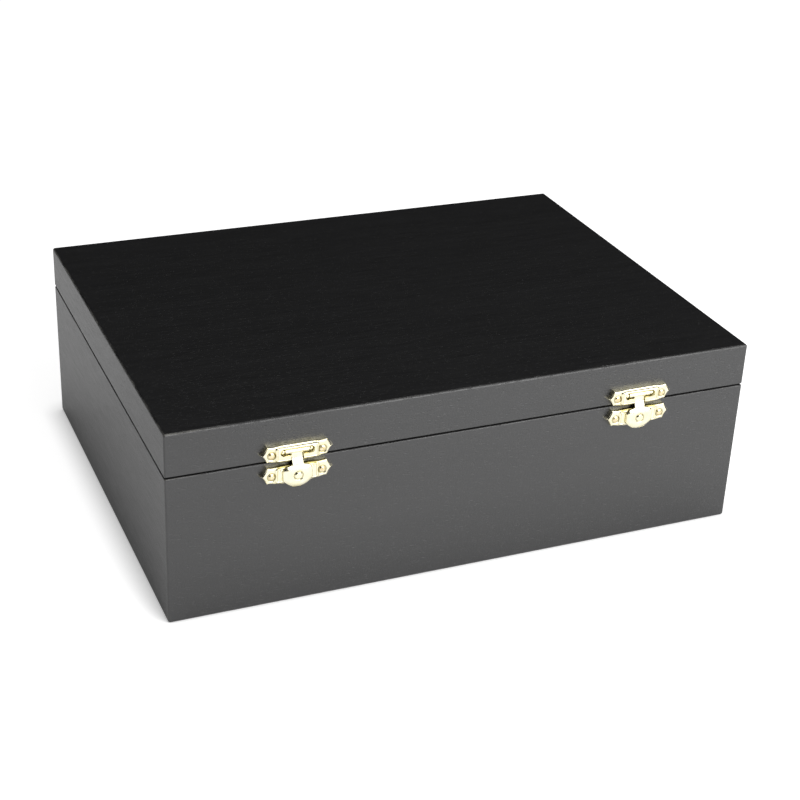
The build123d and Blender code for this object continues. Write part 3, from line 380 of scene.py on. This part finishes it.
def bright_brass_plating():
    """Bright brass plating on stamped sheet: a pale gold mirror, a little uneven from the stamping,
    with olive painted shade in the recesses that the mesh marks."""
    material, tree, shader = blank_material("bright_brass_plating", Metallic=1.0, Roughness=0.2)
    painted_recess_shade = add(tree, "ShaderNodeAttribute", attribute_name="painted_recess_shade").outputs["Fac"]
    cloud = add(tree, "ShaderNodeTexNoise", {
        "Vector": stretched(tree, [3 * mm] * 3), "Scale": 1, "Detail": 3,
    })
    cloud = add(tree, "ShaderNodeMapRange", [cloud, 0.3, 0.7])
    gold = add(
        tree, "ShaderNodeMix", {0: cloud, 6: linear("#fdf8e0"), 7: linear("#f7efc8")}, data_type="RGBA"
    ).outputs[2]
    # Painted shade: olive in the grooves, rings and pockets that the mesh marks
    gold = add(
        tree, "ShaderNodeMix", {0: painted_recess_shade, 6: gold, 7: linear("#857a3c")}, data_type="RGBA"
    ).outputs[2]
    rub = add(tree, "ShaderNodeTexNoise", {
        "Vector": stretched(tree, [0.7 * mm] * 3), "Scale": 1, "Detail": 4, "Roughness": 0.7,
    })
    rough = add(tree, "ShaderNodeMapRange", [rub, 0.3, 0.7, 0.15, 0.27])
    dent = add(tree, "ShaderNodeTexNoise", {
        "Vector": stretched(tree, [1.6 * mm] * 3), "Scale": 1, "Detail": 2,
    })
    bump = add(tree, "ShaderNodeBump", {"Strength": 0.35, "Distance": 0.12 * mm, "Height": dent})
    tree.links.new(gold, shader.inputs["Base Color"])
    tree.links.new(rough.outputs["Result"], shader.inputs["Roughness"])
    tree.links.new(bump.outputs["Normal"], shader.inputs["Normal"])
    return material


brass_plating = bright_brass_plating()


def eased(value, low, high):
    """0 below low and 1 above high, with a smooth rise between; also falls where low is the larger."""
    share = np.clip((value - low) / (high - low), 0, 1)
    return share * share * (3 - 2 * share)


def bead(distance, centre, width):
    """A round-topped line of height 1 where a distance has the value centre."""
    return np.exp(-(((distance - centre) / width) ** 2))


def box_distance(x, z, half_x, half_z, corner):
    """How far points lie outside a rounded rectangle; negative inside."""
    out_x, out_z = np.abs(x) - (half_x - corner), np.abs(z) - (half_z - corner)
    outside = np.hypot(np.maximum(out_x, 0), np.maximum(out_z, 0))
    return outside + np.minimum(np.maximum(out_x, out_z), 0) - corner


def edge_distance(x, z, edge_x, edge_z):
    """How far each point of a grid lies from an outline given by its points."""
    nearest = np.full(x.shape, np.inf)
    for one_x, one_z in zip(edge_x, edge_z):
        nearest = np.minimum(nearest, np.hypot(x - one_x, z - one_z))
    return nearest


def rounded_off(edge, radius):
    """How far a rim rounded to a radius falls away at each distance from its edge."""
    return radius - np.sqrt(np.maximum(radius**2 - np.maximum(radius - edge, 0) ** 2, 0))


def shell(name, x, z, front, back, painted_recess_shade, extra=()):
    """A closed stamped piece from a grid of points, with the rise of its front and back from the wood,
    and any extra (vertices, faces) in it. x and z are measured from the catch's middle and the seam."""
    rows, columns = x.shape
    vertices = [
        (grid_x, wood_y - rise, seam_z + grid_z)
        for side in (front, back)
        for grid_x, rise, grid_z in zip(x.ravel(), side.ravel(), z.ravel())
    ]
    size = rows * columns
    faces = []
    for row in range(rows - 1):
        for column in range(columns - 1):
            first = row * columns + column
            quad = (first, first + 1, first + columns + 1, first + columns)
            faces.append(quad)
            faces.append(tuple(size + corner for corner in reversed(quad)))
    rim = list(range(columns)) + [row * columns + columns - 1 for row in range(1, rows)]
    rim += [size - 1 - column for column in range(1, columns)]
    rim += [row * columns for row in range(rows - 2, 0, -1)]
    for here, there in zip(rim, rim[1:] + rim[:1]):
        faces.append((there, here, size + here, size + there))
    mesh = bpy.data.meshes.new(name)
    shape = bmesh.new()
    # Each front point carries its share of painted shade, which the brass material reads
    layer = shape.verts.layers.float.new("painted_recess_shade")
    made = []
    for place, dark in zip(vertices, np.concatenate([painted_recess_shade.ravel(), painted_recess_shade.ravel() * 0]).tolist()):
        vertex = shape.verts.new(place)
        vertex[layer] = dark
        made.append(vertex)
    for face in faces:
        shape.faces.new([made[corner] for corner in face])
    bmesh.ops.remove_doubles(shape, verts=shape.verts, dist=1e-7)
    bmesh.ops.recalc_face_normals(shape, faces=shape.faces)
    for extra_vertices, extra_faces in extra:
        added = [shape.verts.new(place) for place in extra_vertices]
        for face in extra_faces:
            shape.faces.new([added[corner] for corner in face])
    shape.to_mesh(mesh)
    shape.free()
    mesh.shade_smooth()
    mesh.set_sharp_from_angle(angle=math.radians(crease_angle))
    return mesh


def plate_edge(x, low, high):
    """The lower and upper edge of a plate at each x: a belly, a scallop, then a hollow-sided point."""
    reach = np.abs(x)
    low = low + belly_drop * eased(reach, belly_end, plate_corner)
    middle = (low + high) / 2
    across = np.clip((reach - plate_belly) / (plate_corner - plate_belly), 0, 1)
    scallop = plate_scallop * 4 * across * (1 - across)
    down = np.clip((reach - plate_corner) / (plate_tip - plate_corner), 0, 1)
    inward = (high - middle) * down + plate_hollow * 4 * down * (1 - down)
    inward = np.minimum(inward, (high - low) / 2)
    return low + scallop + inward, high - scallop - inward


def stamped_plate(body, low, high):
    """The lid's or the case's stamped plate, from its low edge to its high one, as a closed mesh
    about x = 0. Its rows of points lie closer together towards the two edges."""
    field_rise, nail_height = field_rises[body], nail_heights[body]
    tip_columns, scallop_columns, field_columns, rows = 22, 18, 74, 57
    field_foot = field_half + 0.8 * mm
    tip_run = np.linspace(plate_tip, plate_corner, tip_columns)
    scallop_run = np.linspace(plate_corner, field_foot, scallop_columns)[1:]
    field_run = np.linspace(field_foot, 0, field_columns)[1:]
    right = np.concatenate([tip_run, scallop_run, field_run])
    line = np.concatenate([-right, right[::-1][1:]])
    share = np.linspace(0, 1, rows)
    share = share - 0.09 * np.sin(2 * math.pi * share)
    low_edge, high_edge = plate_edge(line, low, high)
    x = np.broadcast_to(line, (len(share), len(line)))
    z = low_edge + share[:, None] * (high_edge - low_edge)
    edge = edge_distance(
        x, z, np.concatenate([line, line[::-1]]), np.concatenate([low_edge, high_edge[::-1]])
    )
    middle = (low + high) / 2
    # The rim is turned down, with a soft round edge
    rise = plate_rise - rounded_off(edge, rim_round)
    field = box_distance(x, z - middle, field_half, (high - low) / 2 - field_margin, 1.0 * mm)
    rise = rise + (field_rise - plate_rise) * eased(field, 0.3 * mm, -0.3 * mm)
    groove = bead(field, -0.75 * mm, 0.16 * mm)
    valley = bead(field, 0.35 * mm, 0.25 * mm)
    rise = rise - 0.16 * mm * groove - 0.1 * mm * valley
    # Painted shade in the groove round the raised field and in the valley at its foot
    painted_recess_shade = 0.45 * groove + 0.35 * valley
    for side in (-1, 1):
        nail = np.hypot(x - side * nail_reach, z - nail_height)
        seat = bead(nail, nail_seat, 0.28 * mm)
        rise = rise - 0.25 * mm * seat
        # Painted shade in the ring round the nail
        painted_recess_shade = painted_recess_shade + 0.8 * seat
    if body == "lid":
        # The pocket round the rod, and the channel that the tongue's neck hangs in
        pocket = box_distance(x, z - rod_height, pocket_half, pocket_half_height, 1.5 * mm)
        lip = bead(pocket, 0.35 * mm, 0.22 * mm)
        inside = eased(pocket, 0.1 * mm, -0.14 * mm)
        rise = (rise + 0.12 * mm * lip) * (1 - inside) + pocket_floor * inside
        channel = eased(np.abs(x), channel_half + 0.15 * mm, channel_half) * (z < rod_height)
        rise = rise * (1 - channel) + np.minimum(rise, channel_floor) * channel
        # Painted shade on the pocket's floor, and more down the channel
        painted_recess_shade = painted_recess_shade * (1 - inside) + 0.12 * inside
        painted_recess_shade = np.maximum(painted_recess_shade, 0.5 * channel)
    else:
        # Painted shade on the upper rim, under the lid plate, as dark as a recess
        shaded = eased(edge, 1.3 * mm, 0.6 * mm) * (z > middle) * eased(np.abs(x), 10.5 * mm, 8.0 * mm)
        painted_recess_shade = np.maximum(painted_recess_shade, 0.9 * shaded)
    return shell(f"{body}_plate", x, z, rise, np.zeros_like(rise), np.clip(painted_recess_shade, 0, 1))


def ball(x, radius, rings=12, sides=24):
    """Vertices and faces of a ball on the rod's axis."""
    vertices = [(x - radius, wood_y - rod_rise, seam_z + rod_height)]
    for ring in range(1, rings):
        lean = math.pi * ring / rings
        for side in range(sides):
            turn = 2 * math.pi * side / sides
            reach = radius * math.sin(lean)
            vertices.append((
                x - radius * math.cos(lean),
                wood_y - rod_rise - reach * math.cos(turn),
                seam_z + rod_height + reach * math.sin(turn),
            ))
    vertices.append((x + radius, wood_y - rod_rise, seam_z + rod_height))
    faces = []
    last = len(vertices) - 1
    for side in range(sides):
        after = (side + 1) % sides
        faces.append((0, 1 + after, 1 + side))
        for ring in range(rings - 2):
            near, far = 1 + ring * sides, 1 + (ring + 1) * sides
            faces.append((near + side, near + after, far + after, far + side))
        faces.append((last - sides + side, last - sides + after, last))
    return vertices, faces


# The tongue, from its rolled head down to the foot of its pad, and the button on the pad
head_half = 5.15 * mm
neck_half = 2.45 * mm
neck_back, neck_front = 1.5 * mm, 2.1 * mm
back_lift, front_lift = 1.2 * mm, 1.5 * mm
pad_half = 6.5 * mm
pad_top, pad_low = -1.3 * mm, -11.1 * mm
shoulder = 3.0 * mm
foot_height = 3.4 * mm
pad_crown, crown_width = 0.85 * mm, 2.6 * mm
tongue_round = 0.35 * mm
button_height = -5.7 * mm
button_radius, button_rise = 1.7 * mm, 0.42 * mm
rod_end_reach, rod_end_radius = 6.1 * mm, 1.0 * mm


def tongue_mesh():
    """The tongue about x = 0: a head rolled round the rod, a bent neck and a crowned, buttoned pad."""
    foot_top, neck_foot = pad_low + foot_height, pad_top + 0.4 * mm
    level = np.concatenate([
        rod_height + roll_radius * np.cos(np.linspace(0, math.pi, 30)),
        np.linspace(rod_height - roll_radius, neck_foot, 18)[1:],
        np.linspace(neck_foot, foot_top, 62)[1:],
        pad_low + foot_height * np.linspace(1, 0, 32)[1:] ** 2,
    ])
    pad_round = (pad_half**2 + foot_height**2) / (2 * foot_height)
    shoulder_half = pad_half - shoulder + np.sqrt(
        np.maximum(shoulder**2 - np.clip(level - (pad_top - shoulder), 0, shoulder) ** 2, 0)
    )
    foot_half = np.sqrt(np.maximum(pad_round**2 - (level - (pad_low + pad_round)) ** 2, 0))
    pad_width = np.where(level < foot_top, foot_half, shoulder_half)
    half = np.where(level > pad_top, neck_half, pad_width)
    fillet_half = neck_half + 1.0 * mm * eased(level, neck_foot, pad_top)
    half = np.where(level > foot_top, np.maximum(half, fillet_half), foot_half)
    roll_foot = rod_height - roll_radius
    half = half + (head_half - neck_half) * eased(level, roll_foot, rod_height - 0.85 * roll_radius)
    across = np.linspace(-1, 1, 61)
    across = across + 0.12 * np.sin(math.pi * across)
    x = half[:, None] * across
    z = np.broadcast_to(level[:, None], x.shape)
    edge = edge_distance(x, z, np.concatenate([half, -half[::-1]]), np.concatenate([level, level[::-1]]))
    # The neck bends forward over the seam, so that the pad lies in front of the case plate
    back = neck_back + back_lift * eased(z, 1.8 * mm, -1.8 * mm)
    front = neck_front + front_lift * eased(z, 2.9 * mm, -1.8 * mm)
    from_rod = z - rod_height
    roll = np.sqrt(np.maximum(roll_radius**2 - from_rod**2, 0))
    in_neck = (from_rod < 0) & (np.abs(x) < neck_half)
    on_roll = from_rod > -roll_radius
    back = np.where(on_roll, rod_rise - roll, back)
    rolled = np.where(in_neck, np.maximum(rod_rise + roll, front), rod_rise + roll)
    front = np.where(on_roll, rolled, front)
    line = bead(np.abs(from_rod), 0.45 * mm, 0.1 * mm)
    front = front - 0.12 * mm * line * ~in_neck
    on_pad = eased(z, pad_top + 0.2 * mm, pad_top - 1.2 * mm)
    crown = 1 - (1 - np.clip(edge / crown_width, 0, 1)) ** 2
    front = front + pad_crown * on_pad * crown
    front = front - rounded_off(edge, tongue_round) * (z < roll_foot)
    button = np.hypot(x, z - button_height)
    ring = bead(button, 1.95 * mm, 0.24 * mm)
    dome = np.sqrt(np.clip(1 - (button / button_radius) ** 2, 0, 1))
    front = front - 0.32 * mm * ring + button_rise * dome
    # Painted shade in the ring round the button and in the line along the roll
    painted_recess_shade = np.clip(0.75 * ring + 0.6 * line * ~in_neck, 0, 1)
    rod_ends = [ball(side * rod_end_reach, rod_end_radius) for side in (-1, 1)]
    return shell("tongue", x, z, front, back, painted_recess_shade, rod_ends)


def moved(mesh, name, x):
    """A copy of a mesh, shifted along the front to its catch."""
    copy = mesh.copy()
    copy.name = name
    copy.transform(Matrix.Translation((x, 0, 0)))
    return copy


def catch_middle(side):
    """Where the middle of a catch lies along the front."""
    low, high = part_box(f"{side}_catch_lid_plate")
    return (low.x + high.x) / 2


lid_plate = stamped_plate("lid", 0.25 * mm, 8.3 * mm)
case_plate = stamped_plate("case", -9.85 * mm, -1.4 * mm)
tongue = tongue_mesh()
for side in ("left", "right"):
    for mesh, part, body in (
        (lid_plate, "catch_lid_plate", "lid"), (case_plate, "catch_case_plate", "case"),
        (tongue, "catch_tongue", f"{side}_tongue"),
    ):
        name = f"{side}_stamped_{part}"
        show(
            name, moved(mesh, name, catch_middle(side)), brass_plating, body,
            "brass_plated_catch", f"{side}_{part}",
        )


# Catch nails
# Short brass-plated escutcheon nails with domed heads, two through each plate into the wood.


def nail_brass():
    """Brass-plated nail heads: a shade browner than the plates, and a little uneven."""
    material, tree, shader = blank_material("brass_plated_nail_heads", Metallic=1.0, Roughness=0.26)
    cloud = add(tree, "ShaderNodeTexNoise", {
        "Vector": stretched(tree, [0.8 * mm] * 3), "Scale": 1, "Detail": 3,
    })
    share = add(tree, "ShaderNodeMapRange", [cloud, 0.35, 0.65])
    gold = add(
        tree, "ShaderNodeMix", {0: share, 6: linear("#f6ecca"), 7: linear("#dcc38f")}, data_type="RGBA"
    ).outputs[2]
    bump = add(tree, "ShaderNodeBump", {"Strength": 0.4, "Distance": 0.1 * mm, "Height": cloud})
    tree.links.new(gold, shader.inputs["Base Color"])
    tree.links.new(bump.outputs["Normal"], shader.inputs["Normal"])
    return material


nail_radius, nail_rise = 1.4 * mm, 0.6 * mm
nail_sunk = 0.15 * mm
nail_rings, nail_sides = 14, 28
nail_crease_angle = 60


def domed_nail_tree():
    """Geometry nodes that put a domed head, facing the front, on each point of a mesh."""
    tree = bpy.data.node_groups.new("domed_nail_heads", "GeometryNodeTree")
    tree.interface.new_socket("Geometry", in_out="INPUT", socket_type="NodeSocketGeometry")
    for name in ("Head Radius", "Head Rise"):
        tree.interface.new_socket(name, in_out="INPUT", socket_type="NodeSocketFloat")
    tree.interface.new_socket("Finish", in_out="INPUT", socket_type="NodeSocketMaterial")
    tree.interface.new_socket("Geometry", in_out="OUTPUT", socket_type="NodeSocketGeometry")
    given = add(tree, "NodeGroupInput").outputs
    axis = add(tree, "GeometryNodeCurvePrimitiveLine", {"End": (0, 0, 1)})
    axis = add(tree, "GeometryNodeResampleCurve", {"Curve": axis, "Count": nail_rings})
    ring = add(tree, "GeometryNodeSplineParameter").outputs["Index"]
    along = add(tree, "ShaderNodeMath", [ring, nail_rings - 1], operation="DIVIDE")
    # Up to just short of the top, which a small flat cap closes
    lean = add(tree, "ShaderNodeMath", [along, math.radians(88)], operation="MULTIPLY")
    upward = add(tree, "ShaderNodeMath", [lean], operation="SINE")
    outward = add(tree, "ShaderNodeMath", [lean], operation="COSINE")
    rise = add(tree, "ShaderNodeMath", [upward, given["Head Rise"]], operation="MULTIPLY")
    reach = add(tree, "ShaderNodeMath", [outward, given["Head Radius"]], operation="MULTIPLY")
    place = add(tree, "ShaderNodeCombineXYZ", {"Z": rise})
    axis = add(tree, "GeometryNodeSetPosition", {"Geometry": axis, "Position": place})
    circle = add(tree, "GeometryNodeCurvePrimitiveCircle", {"Resolution": nail_sides, "Radius": 1})
    head = add(tree, "GeometryNodeCurveToMesh", {
        "Curve": axis, "Profile Curve": circle, "Scale": reach, "Fill Caps": True,
    })
    heads = add(tree, "GeometryNodeInstanceOnPoints", {
        "Points": given["Geometry"], "Instance": head, "Rotation": (math.radians(90), 0, 0),
    })
    real = add(tree, "GeometryNodeRealizeInstances", {"Geometry": heads})
    finished = add(tree, "GeometryNodeSetMaterial", {"Geometry": real, "Material": given["Finish"]})
    add(tree, "NodeGroupOutput", {"Geometry": finished})
    return tree


def grown(name, points, tree, inputs):
    """The plain mesh that a geometry node tree makes from a cloud of points."""
    cloud = bpy.data.meshes.new(f"{name}_points")
    cloud.from_pydata(points, [], [])
    carrier = bpy.data.objects.new(f"{name}_carrier", cloud)
    bpy.context.scene.collection.objects.link(carrier)
    modifier = carrier.modifiers.new("grow", "NODES")
    modifier.node_group = tree
    names = {item.name: item.identifier for item in tree.interface.items_tree if item.in_out == "INPUT"}
    for label, value in inputs.items():
        modifier[names[label]] = value
    mesh = bpy.data.meshes.new_from_object(carrier.evaluated_get(bpy.context.evaluated_depsgraph_get()))
    mesh.name = name
    carrier.modifiers.clear()
    bpy.data.objects.remove(carrier)
    mesh.shade_smooth()
    mesh.set_sharp_from_angle(angle=math.radians(nail_crease_angle))
    return mesh


nail_finish = nail_brass()
nail_tree = domed_nail_tree()
for body, height in nail_heights.items():
    spots = [
        (catch_middle(side) + offset, wood_y - plate_rise + nail_sunk, seam_z + height)
        for side in ("left", "right")
        for offset in (-nail_reach, nail_reach)
    ]
    inputs = {"Head Radius": nail_radius, "Head Rise": nail_rise, "Finish": nail_finish}
    heads = grown(f"{body}_nail_heads", spots, nail_tree, inputs)
    show(f"{body}_nail_heads", heads, nail_finish, body, "brass_nails", f"{body}_catch_nails")


# Hinges
# Two pressed butt hinges, brass-plated, let into the seam at the back with small flush screws.


def plated_hinge_brass(name, dark, light):
    """Brass plating on pressed steel: yellower and duller than the catches, with press marks
    drawn several times their real width, so that they show."""
    material, tree, shader = blank_material(name, Metallic=1.0, Roughness=0.32)
    press = add(tree, "ShaderNodeTexNoise", {
        "Vector": stretched(tree, (8 * mm, 0.6 * mm, 0.6 * mm)), "Scale": 1, "Detail": 4,
        "Roughness": 0.6,
    })
    share = add(tree, "ShaderNodeMapRange", [press, 0.35, 0.65])
    gold = add(
        tree, "ShaderNodeMix", {0: share, 6: linear(dark), 7: linear(light)}, data_type="RGBA"
    ).outputs[2]
    rough = add(tree, "ShaderNodeMapRange", [press, 0.3, 0.7, 0.26, 0.4])
    bump = add(tree, "ShaderNodeBump", {"Strength": 0.25, "Distance": 0.08 * mm, "Height": press})
    tree.links.new(gold, shader.inputs["Base Color"])
    tree.links.new(rough.outputs["Result"], shader.inputs["Roughness"])
    tree.links.new(bump.outputs["Normal"], shader.inputs["Normal"])
    return material


dress(
    plated_hinge_brass("brass_plated_hinge_steel", "#d9c48c", "#e9dbab"),
    "left_hinge_case_leaf", "right_hinge_case_leaf", "left_hinge_lid_leaf", "right_hinge_lid_leaf",
)
dress(
    plated_hinge_brass("dulled_brass_screws", "#a88f58", "#c4ad74"),
    "hinge_pins", "hinge_case_screws", "hinge_lid_screws",
)


# Clear cover
# Cut sheet of clear acrylic over the movement, polished, with a slot for the stop lever.


def clear_acrylic():
    """Polished acrylic sheet: clear, a soft glint, and faint wipe marks about 0.5 mm apart."""
    material, tree, shader = blank_material(
        "clear_acrylic_sheet", Roughness=0.04, IOR=1.49, Transmission_Weight=1.0,
        Base_Color=linear("#f2f6f6"),
    )
    wipe = add(tree, "ShaderNodeTexNoise", {
        "Vector": stretched(tree, (9 * mm, 0.5 * mm, 0.5 * mm)), "Scale": 1, "Detail": 3,
        "Distortion": 0.6,
    })
    rough = add(tree, "ShaderNodeMapRange", [wipe, 0.45, 0.7, 0.03, 0.12])
    tree.links.new(rough.outputs["Result"], shader.inputs["Roughness"])
    return material


dress(clear_acrylic(), "clear_cover")


# Movement
# A wind-up comb movement: a zinc casting carries the spring housing, the pinned cylinder, the
# comb and the governor. Wheels are stamped or cut from brass, the rest is plated steel.


def worked_metal(name, dark, light, rough, grain_sizes, depth):
    """A bare or plated metal with the marks of its making, as streaks or spots of the sizes given.
    They are drawn several times their real width, so that they show."""
    material, tree, shader = blank_material(name, Metallic=1.0, Roughness=rough)
    marks = add(tree, "ShaderNodeTexNoise", {
        "Vector": stretched(tree, grain_sizes), "Scale": 1, "Detail": 4, "Roughness": 0.6,
    })
    share = add(tree, "ShaderNodeMapRange", [marks, 0.3, 0.7])
    colour = add(
        tree, "ShaderNodeMix", {0: share, 6: linear(dark), 7: linear(light)}, data_type="RGBA"
    ).outputs[2]
    uneven = add(tree, "ShaderNodeMapRange", [marks, 0.3, 0.7, rough - 0.06, rough + 0.08])
    bump = add(tree, "ShaderNodeBump", {"Strength": 0.3, "Distance": depth, "Height": marks})
    tree.links.new(colour, shader.inputs["Base Color"])
    tree.links.new(uneven.outputs["Result"], shader.inputs["Roughness"])
    tree.links.new(bump.outputs["Normal"], shader.inputs["Normal"])
    return material


def moulded_nylon():
    """Moulded white nylon: creamy, slightly waxy, with a fine mould texture."""
    material, tree, shader = blank_material(
        "moulded_nylon", Roughness=0.42, IOR=1.53, Subsurface_Weight=0.15, Subsurface_Scale=0.8 * mm
    )
    texture = add(tree, "ShaderNodeTexNoise", {
        "Vector": stretched(tree, [0.4 * mm] * 3), "Scale": 1, "Detail": 2,
    })
    cream = add(
        tree, "ShaderNodeMix", {0: texture, 6: linear("#e6e2d4"), 7: linear("#f3f0e6")}, data_type="RGBA"
    ).outputs[2]
    bump = add(tree, "ShaderNodeBump", {"Strength": 0.2, "Distance": 0.05 * mm, "Height": texture})
    tree.links.new(cream, shader.inputs["Base Color"])
    tree.links.new(bump.outputs["Normal"], shader.inputs["Normal"])
    return material


die_casting = worked_metal("zinc_die_casting", "#8a8b8d", "#a9aaab", 0.42, [1.4 * mm] * 3, 0.15 * mm)
drawn, rolled = (5 * mm, 0.5 * mm, 0.5 * mm), (4 * mm, 4 * mm, 0.4 * mm)
ground, turned = (0.35 * mm, 6 * mm, 6 * mm), (0.4 * mm, 4 * mm, 4 * mm)
nickel = worked_metal("nickel_plated_steel", "#b9b8b3", "#d3d2cd", 0.22, drawn, 0.05 * mm)
spring = worked_metal("blued_spring_strip", "#3c4658", "#5b6678", 0.3, rolled, 0.05 * mm)
ground_steel = worked_metal("ground_comb_steel", "#83868a", "#a7aaad", 0.28, ground, 0.06 * mm)
brass = worked_metal("turned_brass", "#c9a050", "#dcb96a", 0.25, turned, 0.05 * mm)
cut_brass = worked_metal("cut_wheel_brass", "#c39a4b", "#dfbd70", 0.3, [0.9 * mm] * 3, 0.06 * mm)
dress(die_casting, "bedplate")
dress(
    nickel, "spring_housing", "winding_arbor", "winding_key", "arbor_clip", "ratchet_click",
    "inner_bracket", "outer_bracket", "governor_bracket", "governor_frame", "lever_post",
    "cylinder_arbor", "bracket_screws", "comb_screws", "movement_screws", "cover_screws", "stop_lever",
)
dress(spring, "mainspring")
dress(ground_steel, "comb", "cylinder_pins", "worm_spindle", "ratchet_wheel")
dress(brass, "cylinder", "cylinder_pinion")
dress(cut_brass, "crown_wheel", "cylinder_wheel", "governor_wheel")
dress(moulded_nylon(), "fan")
dress(paint_along_width, "lid_peg")


# Studio
# A white table under a broad lamp in front and a weaker one overhead, in a dim room, so that the
# lid mirrors the dark and the front mirrors the white table.


def white_table():
    """White laminate that keeps the box's shadow, and looks white to the eye and in reflections:
    it glows for the camera and for mirrored rays only, and the glow is dimmed close to the box as a
    painted shadow."""
    material, tree, shader = blank_material("white_table", Roughness=0.9, Specular_IOR_Level=0.1)
    speck = add(tree, "ShaderNodeTexNoise", {
        "Vector": stretched(tree, [40 * mm] * 3), "Scale": 1, "Detail": 2,
    })
    white = add(
        tree, "ShaderNodeMix", {0: speck, 6: linear("#e6e6e6"), 7: linear("#eaeaea")}, data_type="RGBA"
    ).outputs[2]
    rays = add(tree, "ShaderNodeLightPath").outputs
    # Painted shadow: the glow is dimmed where the box shuts out the room, narrowly for the camera and
    # more widely in reflections
    foot = add(tree, "ShaderNodeAmbientOcclusion", {"Distance": 12 * mm}, samples=8).outputs["AO"]
    foot = add(tree, "ShaderNodeMath", [foot, 0.85], operation="MULTIPLY")
    straight = add(tree, "ShaderNodeMath", [rays["Is Camera Ray"], foot], operation="MULTIPLY")
    beside = add(tree, "ShaderNodeAmbientOcclusion", {"Distance": 60 * mm}, samples=8).outputs["AO"]
    beside = add(tree, "ShaderNodeMath", [beside, 2.0], operation="POWER")
    beside = add(tree, "ShaderNodeMath", [beside, 0.65], operation="MULTIPLY")
    mirrored = [rays["Is Glossy Ray"], rays["Is Transmission Ray"]]
    mirrored = add(tree, "ShaderNodeMath", mirrored, operation="MAXIMUM")
    mirrored = add(tree, "ShaderNodeMath", [mirrored, beside], operation="MULTIPLY")
    strength = add(tree, "ShaderNodeMath", [straight, mirrored], operation="ADD")
    glow = add(tree, "ShaderNodeEmission", {"Color": (1, 1, 1, 1), "Strength": strength})
    both = add(tree, "ShaderNodeAddShader", [shader, glow])
    tree.links.new(white, shader.inputs["Base Color"])
    tree.links.new(both.outputs["Shader"], tree.nodes["Material Output"].inputs["Surface"])
    return material


def lamp(name, place, aim, width, height, power):
    """A broad soft lamp at a place, turned to shine at a point, with its power in watts."""
    light = bpy.data.lights.new(name, "AREA")
    light.shape = "RECTANGLE"
    light.size, light.size_y = width, height
    light.energy = power
    lit = bpy.data.objects.new(name, light)
    turn = (Vector(aim) - Vector(place)).to_track_quat("-Z", "Y")
    lit.matrix_world = Matrix.Translation(place) @ turn.to_matrix().to_4x4()
    bpy.context.scene.collection.objects.link(lit)


table_reach = 20.0
table_corners = [
    (across * table_reach, along * table_reach, 0)
    for across, along in ((-1, -1), (1, -1), (1, 1), (-1, 1))
]
table_mesh = bpy.data.meshes.new("table")
table_mesh.from_pydata(table_corners, [], [(0, 1, 2, 3)])
table_mesh.materials.append(white_table())
table = bpy.data.objects.new("table", table_mesh)
bpy.context.scene.collection.objects.link(table)

lamp("front_lamp", (0.7, -1.25, 0.8), (0, -0.05, 0.05), 1.6, 1.2, 28)
lamp("top_lamp", (-0.2, -0.35, 1.5), (0, 0, 0.05), 1.0, 1.0, 5)

room = bpy.data.worlds.new("dim_room")
room.use_nodes = True
walls = room.node_tree.nodes["Background"].inputs
walls["Color"].default_value = linear("#ffffff")
walls["Strength"].default_value = 0.02
bpy.context.scene.world = room
bpy.context.scene.view_settings.view_transform = "Standard"
